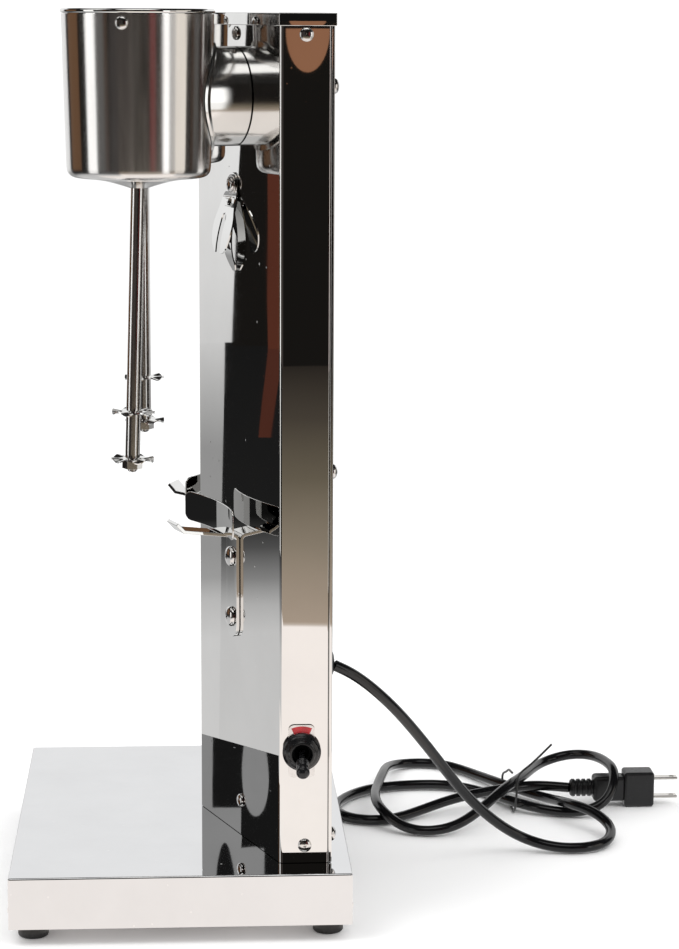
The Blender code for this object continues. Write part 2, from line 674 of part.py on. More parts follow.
def build_spindle(side, lean):
    """The turning group of one head, about the spindle's own axis."""
    suffix = "_right" if side > 0 else "_left"
    pivot = Vector((HEAD_AXIS.x * side, HEAD_AXIS.y, LEAN_PIVOT_Z))
    turn = Matrix.Rotation(math.radians(-lean), 4, "X")
    holder = bpy.data.objects.new("spindle_axis" + suffix, None)
    PARTS.objects.link(holder)
    holder.matrix_world = Matrix.Translation(pivot * MM) @ turn
    down = Matrix.Translation((0.0, 0.0, -LEAN_PIVOT_Z * MM))
    upper, lower = wavy_disc(), wavy_disc()
    upper.data.transform(Matrix.Translation((0, 0, DISC_UPPER_Z * MM)))
    lower.data.transform(Matrix.Translation((0, 0, DISC_LOWER_Z * MM))
                         @ Matrix.Rotation(math.radians(30), 4, "Z"))
    seat = DISC_THICKNESS / 2 + GAP
    spacer = ring(SPINDLE_RADIUS, ROD_RADIUS + GAP, DISC_LOWER_Z + seat, DISC_UPPER_Z - seat, 16)
    pieces = [("motor_rotor", turned(rotor_profile(), 20), "copper"),
              ("spindle", turned(spindle_profile(), 16), "satin"),
              ("agitator_upper", upper, "steel"), ("agitator_lower", lower, "steel"),
              ("agitator_spacer", spacer, "satin"), ("spindle_nut", spindle_nut(), "satin")]
    for name, obj, finish in pieces:
        obj.data.transform(down)
        finish_part(obj, name + suffix, finish)
        obj.parent = holder


# ---------------------------------------------------------------- cup clips and brackets

def face_prism(outline, out_low, out_high):
    """An outline in (along the face, height), raised between two distances off the face."""
    return place(prism(outline, out_low, out_high), ALONG, (0, 0, 1), RIDGE)


def side_prism(outline, along_low, along_high):
    """An outline in (distance off the face, height), raised between two places along it."""
    return place(prism(outline, -along_high, -along_low), OUT, (0, 0, 1), RIDGE)


def build_cup_clip():
    centre = FACE_CENTRE - 1.0
    sheet, flat = 0.8, GAP
    leaf = [(flat, CLIP_Z + 8), (flat, CLIP_Z - 6.5), (flat + 9.3, CLIP_LEAF_TIP)]
    tongue = [(flat, CLIP_Z - 5), (2.4, 408.0), (3.9, 398.0), (4.3, 390.0), (3.2, 382.0),
              (flat + 0.3, 375.5)]
    low, high = centre - 14.0, centre + 14.0
    petal = (arc(centre, CLIP_Z, 7.0, 25, 155, 9) + [(centre - 8.5, 412.0), (centre - 12.0, 402.0)]
             + arc(centre - 4.5, 393.0, 9.0, 165, 235, 6) + [(centre - 4.0, CLIP_LEAF_TIP)]
             + [(centre + 2.5, CLIP_LEAF_TIP + 1.0), (centre + 7.5, 391.0), (centre + 10.5, 399.0),
                (centre + 9.5, 410.0)])
    clip = side_prism(thick_path(leaf, sheet), low, high)
    clip = boolean(clip, face_prism(petal, -3.0, 25.0), "INTERSECT")
    window = face_prism([(centre + 0.5, 408.5), (centre + 8.0, 408.5), (centre + 8.0, 416.5),
                         (centre + 0.5, 416.5)], 0.0, 12.0)
    rib = face_prism([(centre - 5.6, 388.0), (centre - 3.8, 388.0), (centre - 3.8, 406.0),
                      (centre - 5.6, 406.0)], 0.0, 16.0)
    clip = cut(clip, window, rib)
    clip = fuse(clip, side_prism(thick_path(tongue, sheet), centre + 0.8, centre + 7.7))
    hole = hole_cutter(CLIP_SCREW[0], FACE_OUT, SCREW_SHANK + GAP, segments=16)
    both_sides(cut(clip, hole), "cup_clip", "steel")


def bar_top(out):
    """Height of the bracket bar's upper side at a distance off the face."""
    return STRAP_BEND_Z + BAR_RISE * out


def build_cup_bracket():
    inner, thickness, bend = GAP, 2.0, 2.6
    lip_end = (LIP_REACH, bar_top(BAR_REACH) + LIP_RISE)
    path = [(inner, STRAP_BOTTOM), (inner, STRAP_BEND_Z - bend), (inner + 0.8, STRAP_BEND_Z - 0.7),
            (inner + bend, bar_top(inner + bend)), (BAR_REACH, bar_top(BAR_REACH)), lip_end]
    strap = side_prism(thick_path(path[::-1], thickness), FACE_CENTRE - STRAP_WIDTH / 2,
                       FACE_CENTRE + STRAP_WIDTH / 2)
    half = STRAP_WIDTH / 2
    outline = (arc(FACE_CENTRE, STRAP_BOTTOM + half, half - 0.05, 180, 360, 13)
               + [(FACE_CENTRE + half + 2, 190.0), (FACE_CENTRE + half + 2, 250.0),
                  (FACE_CENTRE - half - 2, 250.0), (FACE_CENTRE - half - 2, 190.0)])
    strap = boolean(strap, face_prism(outline, -3.0, LIP_REACH + 5.0), "INTERSECT")
    tools = [hole_cutter(p, d, SCREW_SHANK + GAP, segments=16) for p, d in BRACKET_SCREWS]
    both_sides(cut(strap, group(*tools)), "cup_bracket", "steel")

    ends, middle = 15.2, 10.2
    half = BAND_WIDTH / 2
    sag = ends - middle
    radius = (half * half + sag * sag) / (2 * sag)
    sweep = math.degrees(math.asin(half / radius))
    centre = FACE_CENTRE - 1.5
    plan = arc(centre, middle + radius, radius, 270 - sweep, 270 + sweep, 17)
    low = bar_top(middle + 1.0) + GAP + 0.2
    band = prism(thick_path(plan, 1.0), low, low + BAND_HEIGHT)
    band = placed_plan(band)
    rounded = rounded_rectangle(centre - half - 0.5, low, centre + half + 0.5, low + BAND_HEIGHT,
                                6.0)
    band = boolean(band, face_prism(rounded, 0.0, 30.0), "INTERSECT")
    both_sides(band, "cup_backrest", "steel")


def placed_plan(obj):
    """Moves a plan drawn in (along, out) onto the right-hand face."""
    turn = Matrix((tuple(ALONG), tuple(OUT), (0.0, 0.0, 1.0))).transposed().to_4x4()
    obj.data.transform(Matrix.Translation(RIDGE * MM) @ turn)
    obj.data.flip_normals()
    return obj


def build_bracket_screws():
    for (point, direction), level in zip(BRACKET_SCREWS, ("lower", "upper")):
        screw = screw_solid(point, direction, 6.0, 3.2, SCREW_SHANK, 6.5)
        both_sides(screw, f"bracket_screw_{level}", "steel")


# ---------------------------------------------------------------- switches

def build_switches():
    strip = COL_HALF_WIDTH
    body = box((26.0, 16.0, 26.0), (strip - SHEET - GAP - 13.0, SWITCH_Y, SWITCH_Z), bevel=0.8,
               segments=1)
    axis_start = (strip - 6.0, SWITCH_Y, SWITCH_Z)
    body = fuse(body, rod(5.8, axis_start, (strip + 3.2, SWITCH_Y, SWITCH_Z), 16))
    body = cut(body, rod(4.3, (strip - 4.0, SWITCH_Y, SWITCH_Z), (strip + 8, SWITCH_Y, SWITCH_Z),
                         16))
    both_sides(body, "switch_body", "plastic")

    plate = prism(rounded_rectangle(-7.5, -15.5, 7.5, 15.5, 3.0), strip + GAP, strip + GAP + 0.8,
                  holes=[circle(0.0, 0.0, 6.2)])
    plate.data.transform(Matrix((
        (0, 0, 1, 0), (1, 0, 0, SWITCH_Y * MM), (0, 1, 0, SWITCH_Z * MM), (0, 0, 0, 1))))
    both_sides(plate, "switch_plate", "red")

    seat = 1.5
    boot = turned([(6.8, 8.6), (7.6, 7.8), (7.6, 6.6), (9.2, 5.6), (9.2, 4.6), (11.0, 3.9),
                   (11.0, seat), (6.2, seat), (6.2, 4.4), (5.7, 5.2), (5.7, 8.6)], 28,
                  closed=True)
    boot.data.transform(side_turn(strip))
    both_sides(boot, "switch_boot", "rubber")


def side_turn(strip):
    """Turns a shape that stands along Z so that it stands along +X off the side strip."""
    turn = Matrix(((0, 0, 1), (0, 1, 0), (-1, 0, 0))).to_4x4()
    return Matrix.Translation(Vector((strip, SWITCH_Y, SWITCH_Z)) * MM) @ turn


def build_lever(side):
    """A toggle lever in its rubber sleeve, turning about its pivot in the switch."""
    suffix = "_right" if side > 0 else "_left"
    tip = LEVER_LENGTH
    profile = [(0.0, tip)] + [(3.9 * math.sin(math.radians(a)), tip - 3.9 * (1 - math.cos(
        math.radians(a)))) for a in (30, 60, 85)]
    profile += [(3.4, 14.0), (3.9, 11.6), (3.9, 10.4), (1.9, 9.4), (1.9, 0.5), (0.0, 0.0)]
    lever = turned(profile, 16)
    holder = bpy.data.objects.new("lever_pivot" + suffix, None)
    PARTS.objects.link(holder)
    pivot = Vector((side * (COL_HALF_WIDTH + 1.0), SWITCH_Y, SWITCH_Z))
    angle = math.radians(90.0 + LEVER_DROOP) * side
    holder.matrix_world = (Matrix.Translation(pivot * MM) @ Matrix.Rotation(angle, 4, "Y"))
    finish_part(lever, "toggle_lever" + suffix, "rubber")
    lever.parent = holder


# ---------------------------------------------------------------- mains lead

def smooth_route(points, spacing):
    """Evenly spaced points on a natural cubic curve through the given points."""
    knots = np.array(points, dtype=float)
    count = len(knots)
    step = np.linalg.norm(np.diff(knots, axis=0), axis=1) ** 0.75
    system, right = np.zeros((count, count)), np.zeros((count, 3))
    system[0, 0] = system[-1, -1] = 1.0
    for i in range(1, count - 1):
        system[i, i - 1:i + 2] = step[i - 1], 2 * (step[i - 1] + step[i]), step[i]
        right[i] = 6 * ((knots[i + 1] - knots[i]) / step[i] - (knots[i] - knots[i - 1]) / step[i - 1])
    bend = np.linalg.solve(system, right)
    dense = []
    for i in range(count - 1):
        for t in np.linspace(0.0, 1.0, 20, endpoint=False):
            s = 1.0 - t
            dense.append(s * knots[i] + t * knots[i + 1]
                         + step[i] ** 2 / 6 * ((s ** 3 - s) * bend[i] + (t ** 3 - t) * bend[i + 1]))
    dense = np.array(dense + [knots[-1]])
    length = np.concatenate(([0.0], np.cumsum(np.linalg.norm(np.diff(dense, axis=0), axis=1))))
    places = np.linspace(0.0, length[-1], int(round(length[-1] / spacing)) + 1)
    return np.array([[np.interp(p, length, dense[:, k]) for k in range(3)] for p in places])


def tube(points, radius, resolution=2):
    """A round wire through points, as a curve with filled caps."""
    curve = bpy.data.curves.new("tube", "CURVE")
    curve.dimensions = "3D"
    curve.bevel_depth = radius * MM
    curve.bevel_resolution = resolution
    curve.use_fill_caps = True
    spline = curve.splines.new("POLY")
    spline.points.add(len(points) - 1)
    for point, co in zip(spline.points, points):
        point.co = (*(Vector(co) * MM), 1.0)
    return new_object("tube", curve)


def build_cord():
    lead = smooth_route(CORD_ROUTE, CORD_SPACING)
    straight = np.array((0.0, 3.0, 0.0))
    points = [lead[0], lead[0] + straight, *lead[1:-1], lead[-1] - straight, lead[-1]]
    finish_part(tube(points, CORD_RADIUS), "mains_cord", "rubber")

    gland = turned([(0.0, 3.4), (5.0, 3.2), (7.2, 2.2), (8.0, 0.9), (8.0, GAP), (6.5, GAP),
                    (6.5, -11.0), (0.0, -11.0)], 24)
    turn = Matrix(((1, 0, 0), (0, 0, 1), (0, -1, 0))).to_4x4()
    gland.data.transform(Matrix.Translation(Vector((GLAND_X, COL_REAR_Y, GLAND_Z)) * MM) @ turn)
    finish_part(gland, "cord_gland", "rubber")

    tie = tube(smooth_route(TIE_ROUTE, 4.0), TIE_RADIUS, resolution=1)
    finish_part(tie, "cord_tie", "plastic")


def build_plug():
    profile = [(0.0, 0.0), (3.6, 0.0), (5.0, 0.6)]
    for k in range(4):
        start = 1.2 + k * 3.6
        profile += [(5.8, start), (5.8, start + 2.2), (4.9, start + 2.6), (4.9, start + 3.2)]
    profile += [(5.8, 16.0), (5.8, 17.5), (0.0, 17.5)]
    relief = turned(profile[::-1], 16)
    relief.data.transform(Matrix.Translation(Vector((PLUG_X, PLUG_START_Y, PLUG_Z)) * MM)
                          @ Matrix(((1, 0, 0), (0, 0, 1), (0, -1, 0))).to_4x4())
    grip = box((13.0, 21.0, 17.0), (PLUG_X, PLUG_START_Y + 26.0, PLUG_Z), bevel=2.2, segments=2)
    block = box((16.0, 20.0, 23.4), (PLUG_X, PLUG_START_Y + 46.0, PLUG_Z), bevel=1.6, segments=2)
    body = fuse(grip, relief, block)
    finish_part(body, "plug_body", "plastic")
    for side, level in ((-1, "lower"), (1, "upper")):
        centre = Vector((PLUG_X, PLUG_START_Y + 56.0 + GAP + 8.0, PLUG_Z + side * 6.35))
        blade = box((6.3, 16.0, 1.5), centre, bevel=0.3, segments=1)
        hole = rod(1.6, centre + Vector((0, 4.4, -3)), centre + Vector((0, 4.4, 3)), 12)
        finish_part(cut(blade, hole), f"plug_blade_{level}", "satin")


# ---------------------------------------------------------------- build

clear_scene()
PARTS = make_collection("milkshake_mixer")
build_base()
build_column()
build_head_shell()
build_head_lid()
build_neck()
build_motor()
build_boss()
build_spindle(1, RIGHT_SPINDLE_LEAN)
build_spindle(-1, 0.0)
build_cup_clip()
build_cup_bracket()
build_bracket_screws()
build_switches()
build_lever(1)
build_lever(-1)
build_cord()
build_plug()
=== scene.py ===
"""Looks of a double-head milkshake mixer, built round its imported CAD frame.

Lengths in this script are millimetres in the part's own frame; MM turns them into metres.
"""
import json
import math

import bmesh
import bpy
import numpy as np
from mathutils import Matrix, Vector


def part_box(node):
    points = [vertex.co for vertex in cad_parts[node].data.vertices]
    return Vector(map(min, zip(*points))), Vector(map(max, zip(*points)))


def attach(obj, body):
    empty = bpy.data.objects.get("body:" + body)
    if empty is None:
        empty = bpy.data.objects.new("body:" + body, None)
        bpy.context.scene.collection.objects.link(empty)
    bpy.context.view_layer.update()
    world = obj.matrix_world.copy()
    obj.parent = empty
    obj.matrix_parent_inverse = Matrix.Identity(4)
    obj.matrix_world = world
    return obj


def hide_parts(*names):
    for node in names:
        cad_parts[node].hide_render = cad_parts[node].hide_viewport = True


MM = 0.001
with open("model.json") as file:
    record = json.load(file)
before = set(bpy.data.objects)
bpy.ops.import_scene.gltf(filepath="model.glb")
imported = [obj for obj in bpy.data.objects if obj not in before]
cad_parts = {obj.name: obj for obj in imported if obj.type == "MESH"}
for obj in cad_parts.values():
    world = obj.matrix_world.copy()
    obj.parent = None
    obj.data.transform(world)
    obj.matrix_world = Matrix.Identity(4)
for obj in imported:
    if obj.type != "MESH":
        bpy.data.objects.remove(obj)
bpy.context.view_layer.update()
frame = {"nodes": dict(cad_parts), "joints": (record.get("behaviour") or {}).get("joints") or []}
SIDES = (("right", 1), ("left", -1))
MIRROR_X = Matrix.Diagonal((-1.0, 1.0, 1.0, 1.0))


def node_box(node):
    """A CAD node's lowest and highest corners, in millimetres."""
    low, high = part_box(node)
    return low / MM, high / MM


BASE_LOW, BASE_HIGH = node_box("base_cover")
SHELL_LOW, SHELL_HIGH = node_box("column_shell")
REAR_LOW, REAR_HIGH = node_box("column_rear_cover")
HEAD_LOW, HEAD_HIGH = node_box("head_shell_right")
LID_LOW, LID_HIGH = node_box("head_lid_right")
GLAND = sum(node_box("cord_gland"), Vector()) / 2
JOINTS = {joint["name"]: joint for joint in frame["joints"]}

# The column's plan: two slanted faces meet in a ridge at the front
HALF_WIDTH = SHELL_HIGH.x
RIDGE_Y = SHELL_LOW.y
EDGE_Y = 56.8
SHEET = 1.2
FACE_LENGTH = math.hypot(HALF_WIDTH, EDGE_Y - RIDGE_Y)
ALONG = Vector((HALF_WIDTH, EDGE_Y - RIDGE_Y, 0.0)) / FACE_LENGTH
OUT = Vector((ALONG.y, -ALONG.x, 0.0))
RIDGE = Vector((0.0, RIDGE_Y, 0.0))
FACE_CENTRE = 54.5

# The heads
HEAD_X = (HEAD_LOW.x + HEAD_HIGH.x) / 2
HEAD_Y = (HEAD_LOW.y + HEAD_HIGH.y) / 2
HEAD_AXIS = Vector((HEAD_X, HEAD_Y, 0.0))
HEAD_STANDOFF = (HEAD_AXIS - RIDGE).dot(OUT)
HEAD_TOP_RADIUS = (HEAD_HIGH.x - HEAD_LOW.x) / 2
HEAD_BOTTOM_RADIUS = HEAD_TOP_RADIUS - 2.2
NECK_Z = 474.3
NECK_RADIUS = 28.0

# The switches, in the middle of the side strips
TOGGLE_PIVOT = Vector(JOINTS["toggle_right_flip"]["pos_m"]) / MM
SWITCH = Vector((HALF_WIDTH, TOGGLE_PIVOT.y, TOGGLE_PIVOT.z))
SWITCH_HOLE = 6.2
LEVER_DROOP = 24.0             # degrees below level at rest
LEVER_LENGTH = 22.0

CLIP_SCREW_Z = 424.5


def face_point(along, out, z):
    """A point from its distance along the right-hand face, off it and above the floor."""
    return RIDGE + ALONG * along + OUT * out + Vector((0.0, 0.0, z))


def head_radius(z):
    """The tapering drum's radius at a height."""
    share = (z - HEAD_LOW.z) / (HEAD_HIGH.z - HEAD_LOW.z)
    return HEAD_BOTTOM_RADIUS + (HEAD_TOP_RADIUS - HEAD_BOTTOM_RADIUS) * share


# ---------------------------------------------------------------- mesh helpers

def new_object(name, data):
    obj = bpy.data.objects.new(name, data)
    bpy.context.scene.collection.objects.link(obj)
    return obj


SMOOTH_ANGLE = 32.0            # degrees; sharper edges stay sharp
WELD_DISTANCE = 0.000005       # metres


def smooth(obj):
    obj.data.shade_smooth()
    obj.data.set_sharp_from_angle(angle=math.radians(SMOOTH_ANGLE))
    return obj


def from_bmesh(bm, name):
    bmesh.ops.recalc_face_normals(bm, faces=bm.faces)
    mesh = bpy.data.meshes.new(name)
    bm.to_mesh(mesh)
    bm.free()
    return smooth(new_object(name, mesh))


def applied(obj):
    """Makes an object's modifiers, or a curve's bevel, part of a plain mesh."""
    bpy.context.view_layer.update()
    graph = bpy.context.evaluated_depsgraph_get()
    mesh = bpy.data.meshes.new_from_object(obj.evaluated_get(graph))
    name = obj.name
    matrix = obj.matrix_world.copy()
    bpy.data.objects.remove(obj, do_unlink=True)
    plain = new_object(name, mesh)
    mesh.transform(matrix)
    return smooth(plain)


def welded(obj):
    bm = bmesh.new()
    bm.from_mesh(obj.data)
    bmesh.ops.remove_doubles(bm, verts=bm.verts, dist=WELD_DISTANCE)
    bmesh.ops.recalc_face_normals(bm, faces=bm.faces)
    bm.to_mesh(obj.data)
    bm.free()
    return obj


def bevelled(obj, width, segments=2, angle=30.0):
    """Rounds an object's sharp edges by a width in millimetres."""
    bevel = obj.modifiers.new("Bevel", "BEVEL")
    bevel.width = width * MM
    bevel.segments = segments
    bevel.limit_method = "ANGLE"
    bevel.angle_limit = math.radians(angle)
    return applied(obj)


def lathe(name, profile, segments=96, closed=False):
    """A turned mesh about Z from (radius, z) points; radius 0 closes it on the axis."""
    bm = bmesh.new()
    rings = []
    for radius, z in profile:
        if radius < 1e-6:
            rings.append([bm.verts.new((0.0, 0.0, z * MM))])
            continue
        turn = [2 * math.pi * i / segments for i in range(segments)]
        rings.append([bm.verts.new((radius * math.cos(a) * MM, radius * math.sin(a) * MM, z * MM))
                      for a in turn])
    pairs = list(zip(rings, rings[1:]))
    if closed:
        pairs.append((rings[-1], rings[0]))
    for upper, lower in pairs:
        for i in range(segments):
            k = (i + 1) % segments
            corners = [upper[i % len(upper)], upper[k % len(upper)],
                       lower[k % len(lower)], lower[i % len(lower)]]
            unique = list(dict.fromkeys(corners))
            if len(unique) > 2:
                bm.faces.new(unique)
    return from_bmesh(bm, name)


def arc(x, y, radius, start, end, count):
    """Points on an arc about (x, y), angles in degrees."""
    return [(x + radius * math.cos(math.radians(a)), y + radius * math.sin(math.radians(a)))
            for a in np.linspace(start, end, count)]


def rounded_corner(before, corner, after, radius, count=6):
    """Points that round one corner of a plane path."""
    corner = Vector(corner)
    a = (Vector(before) - corner).normalized()
    b = (Vector(after) - corner).normalized()
    half = a.angle(b) / 2
    reach = radius / math.tan(half)
    centre = corner + (a + b).normalized() * radius / math.sin(half)
    start, end = corner + a * reach - centre, corner + b * reach - centre
    points = []
    for t in np.linspace(0.0, 1.0, count):
        spoke = start.slerp(end, float(t)).normalized() * radius
        points.append(tuple(centre + spoke))
    return points


def rounded_path(points, radius, count=6, closed=False):
    """A plane path with its corners rounded, by one radius or by one for each point."""
    size = len(points)
    radii = radius if isinstance(radius, tuple) else (radius,) * size
    path = []
    for i, point in enumerate(points):
        if not closed and i in (0, size - 1):
            path.append(tuple(point))
        else:
            path += rounded_corner(points[i - 1], point, points[(i + 1) % size], radii[i], count)
    return path


def softened(points, rounds=3):
    """An open path with its corners cut again and again, until it is a smooth curve."""
    path = [np.array(p, dtype=float) for p in points]
    for _ in range(rounds):
        middle = []
        for a, b in zip(path, path[1:]):
            middle += [0.75 * a + 0.25 * b, 0.25 * a + 0.75 * b]
        path = [path[0], *middle[1:-1], path[-1]]
    return [tuple(float(c) for c in p) for p in path]


def thick_path(path, thickness):
    """The closed outline of an open path that is thickened on its left-hand side."""
    points = [Vector(p) for p in path]
    inner = []
    for i, point in enumerate(points):
        before = (point - points[i - 1]).normalized() if i else None
        after = (points[i + 1] - point).normalized() if i + 1 < len(points) else None
        before, after = before or after, after or before
        side = Vector((-before.y - after.y, before.x + after.x)).normalized()
        inner.append(point + side * (thickness / side.dot(Vector((-before.y, before.x)))))
    return [tuple(p) for p in points] + [tuple(p) for p in reversed(inner)]


def filled_outline(name, outlines, fill_mode, extrude=0.0):
    """A flat mesh in XY inside the first outline and outside the others."""
    curve = bpy.data.curves.new(name, "CURVE")
    curve.dimensions = "2D"
    curve.fill_mode = fill_mode
    curve.extrude = extrude * MM
    for points in outlines:
        spline = curve.splines.new("POLY")
        spline.points.add(len(points) - 1)
        for point, (x, y) in zip(spline.points, points):
            point.co = (x * MM, y * MM, 0.0, 1.0)
        spline.use_cyclic_u = True
    return welded(applied(new_object(name, curve)))


def prism(name, outline, low, high):
    """A flat outline in XY, raised between two heights."""
    obj = filled_outline(name, [outline], "BOTH", (high - low) / 2)
    bm = bmesh.new()
    bm.from_mesh(obj.data)
    bmesh.ops.dissolve_limit(bm, angle_limit=math.radians(0.5), verts=bm.verts, edges=bm.edges)
    bm.to_mesh(obj.data)
    bm.free()
    obj.data.transform(Matrix.Translation((0.0, 0.0, (low + high) / 2 * MM)))
    return smooth(obj)


def basis(x_axis, y_axis, origin=(0.0, 0.0, 0.0)):
    """The matrix that lays a shape's own X and Y along two directions, at an origin in mm."""
    x_axis, y_axis = Vector(x_axis).normalized(), Vector(y_axis).normalized()
    turn = Matrix((x_axis, y_axis, x_axis.cross(y_axis))).transposed().to_4x4()
    return Matrix.Translation(Vector(origin) * MM) @ turn


def facing(point, direction):
    """The matrix that stands a shape's own Z along a direction, at a point in mm."""
    turn = Vector(direction).to_track_quat("Z", "Y").to_matrix().to_4x4()
    return Matrix.Translation(Vector(point) * MM) @ turn


def moved(obj, matrix):
    obj.data.transform(matrix)
    if matrix.determinant() < 0:
        obj.data.flip_normals()
    return obj


def twin(obj, name, matrix=MIRROR_X):
    """A copy of a piece through a matrix, with its materials."""
    return moved(new_object(name, obj.data.copy()), matrix)


def fine_copy(node, width, segments, angle):
    """A copy of a CAD node with clean flat faces and softly rounded edges."""
    mesh = frame["nodes"][node].data.copy()
    obj = new_object(node + "_fine", mesh)
    bm = bmesh.new()
    bm.from_mesh(mesh)
    bmesh.ops.remove_doubles(bm, verts=bm.verts, dist=0.000004)
    bmesh.ops.dissolve_limit(bm, angle_limit=math.radians(0.6), verts=bm.verts, edges=bm.edges)
    bm.to_mesh(mesh)
    bm.free()
    return bevelled(obj, width, segments, angle)


def cut(obj, cutter, operation="DIFFERENCE"):
    modifier = obj.modifiers.new("Boolean", "BOOLEAN")
    modifier.operation = operation
    modifier.solver = "EXACT"
    modifier.object = cutter
    plain = applied(obj)
    bpy.data.objects.remove(cutter, do_unlink=True)
    return plain


def rounded_box(name, size, centre, radius, segments=4):
    bm = bmesh.new()
    bmesh.ops.create_cube(bm, size=1.0)
    bmesh.ops.scale(bm, vec=Vector(size) * MM, verts=bm.verts)
    bmesh.ops.bevel(bm, geom=bm.edges[:], offset=radius * MM, segments=segments, profile=0.5,
                    affect="EDGES")
    bmesh.ops.translate(bm, vec=Vector(centre) * MM, verts=bm.verts)
    return from_bmesh(bm, name)


def joined(name, objects):
    """Several like solids as one piece, such as a set of fasteners on one body."""
    bm = bmesh.new()
    for obj in objects:
        bm.from_mesh(obj.data)
    mesh = bpy.data.meshes.new(name)
    bm.to_mesh(mesh)
    bm.free()
    for obj in objects:
        bpy.data.objects.remove(obj, do_unlink=True)
    return smooth(new_object(name, mesh))


# ---------------------------------------------------------------- materials

class Nodes:
    """A material's node tree, with short calls for the nodes that it needs."""

    def __init__(self, name):
        self.material = bpy.data.materials.new(name)
        self.material.use_nodes = True
        self.tree = self.material.node_tree
        self.shader = self.tree.nodes["Principled BSDF"]
        self.place = self.add("ShaderNodeTexCoord").outputs["Object"]

    def add(self, kind, **values):
        node = self.tree.nodes.new(kind)
        for key, value in values.items():
            setattr(node, key, value)
        return node

    def link(self, source, target):
        self.tree.links.new(source, target)

    def scaled(self, scale):
        mapping = self.add("ShaderNodeMapping")
        mapping.inputs["Scale"].default_value = scale
        self.link(self.place, mapping.inputs["Vector"])
        return mapping.outputs["Vector"]

    def noise(self, scale, detail=2.0, rough=0.5, stretch=(1.0, 1.0, 1.0)):
        node = self.add("ShaderNodeTexNoise")
        node.inputs["Scale"].default_value = scale
        node.inputs["Detail"].default_value = detail
        node.inputs["Roughness"].default_value = rough
        self.link(self.scaled(stretch), node.inputs["Vector"])
        return node.outputs["Fac"]

    def spots(self, scale, size):
        """1 inside small scattered spots and 0 between them."""
        node = self.add("ShaderNodeTexVoronoi", feature="F1")
        node.inputs["Scale"].default_value = scale
        self.link(self.place, node.inputs["Vector"])
        return self.ramp(node.outputs["Distance"], (size, 1.0), (size * 1.6, 0.0))

    def ramp(self, value, start, end):
        """Maps a value from start's input to end's, between their two output levels."""
        node = self.add("ShaderNodeMapRange")
        node.inputs["From Min"].default_value = start[0]
        node.inputs["From Max"].default_value = end[0]
        node.inputs["To Min"].default_value = start[1]
        node.inputs["To Max"].default_value = end[1]
        self.link(value, node.inputs["Value"])
        return node.outputs["Result"]

    def math(self, operation, a, b):
        node = self.add("ShaderNodeMath", operation=operation)
        for socket, value in zip(node.inputs, (a, b)):
            if isinstance(value, (int, float)):
                socket.default_value = value
            else:
                self.link(value, socket)
        return node.outputs[0]

    def mix(self, factor, a, b):
        """Mixes two colours."""
        node = self.add("ShaderNodeMix", data_type="RGBA")
        self.link(factor, node.inputs["Factor"])
        for socket, value in ((node.inputs[6], a), (node.inputs[7], b)):
            if isinstance(value, tuple):
                socket.default_value = (*value, 1.0)
            else:
                self.link(value, socket)
        return node.outputs[2]

    def bump(self, layers):
        """Stacks height layers, each a value and its depth in millimetres."""
        normal = None
        for height, depth in layers:
            node = self.add("ShaderNodeBump")
            node.inputs["Strength"].default_value = 1.0
            node.inputs["Distance"].default_value = depth * MM
            self.link(height, node.inputs["Height"])
            if normal is not None:
                self.link(normal, node.inputs["Normal"])
            normal = node.outputs["Normal"]
        self.link(normal, self.shader.inputs["Normal"])

    def dust(self, scale, size, patch, low, high, most):
        """Scattered specks that show only in some patches, up to a strength."""
        return self.math("MULTIPLY", self.spots(scale, size),
                         self.ramp(self.noise(patch), (low, 0.0), (high, most)))

    def worn(self, value, low, high, tone, share):
        """A colour that darkens to a share of itself as a value goes from low to high."""
        return self.mix(self.ramp(value, (low, 0.0), (high, 1.0)), tone, tuple(c * share for c in tone))

    def set(self, **values):
        """Sets the shader's inputs by name, to a number or to another node's output."""
        for key, value in values.items():
            socket = self.shader.inputs[key.replace("_", " ").title().replace("Ior", "IOR")]
            if isinstance(value, float):
                socket.default_value = value
            else:
                self.link(value, socket)


PALE_DUST = (0.95, 0.95, 0.94)


def polished_steel(name, tone=(0.80, 0.795, 0.79), wave=0.12, wave_scale=9.0, dust=0.5, rough=0.0):
    """Mirror-polished sheet: slight waves, faint smears, pinprick dust."""
    n = Nodes(name)
    smear = n.noise(22.0, 4.0, 0.6)
    specks = n.dust(95.0, 0.045, 13.0, 0.5, 0.56, dust)
    blur = n.ramp(smear, (0.3, 0.006 + rough), (0.8, 0.022 + rough * 1.5))
    n.set(metallic=1.0, base_color=n.mix(specks, n.worn(smear, 0.35, 0.75, tone, 0.95), PALE_DUST),
          roughness=n.math("MAXIMUM", blur, n.math("MULTIPLY", specks, 0.7)))
    n.bump([(n.noise(wave_scale, 1.0), wave), (specks, 0.05)])
    return n.material


def turned_steel(name):
    """Drawn and brushed drum: reflections smeared up and down it, and a few pinpricks."""
    n = Nodes(name)
    marks = n.noise(90.0, 5.0, 0.65, (1.0, 1.0, 0.06))
    broad = n.noise(14.0, 3.0, 0.5, (1.0, 1.0, 0.3))
    specks = n.dust(130.0, 0.05, 17.0, 0.52, 0.58, 0.7)
    colour = n.mix(n.ramp(broad, (0.35, 0.0), (0.7, 1.0)), (0.80, 0.79, 0.78), (0.73, 0.72, 0.71))
    n.set(metallic=1.0, anisotropic=0.8, anisotropic_rotation=0.25,
          base_color=n.mix(specks, colour, PALE_DUST),
          roughness=n.ramp(marks, (0.3, 0.16), (0.75, 0.28)))
    n.bump([(marks, 0.004), (broad, 0.02)])
    return n.material


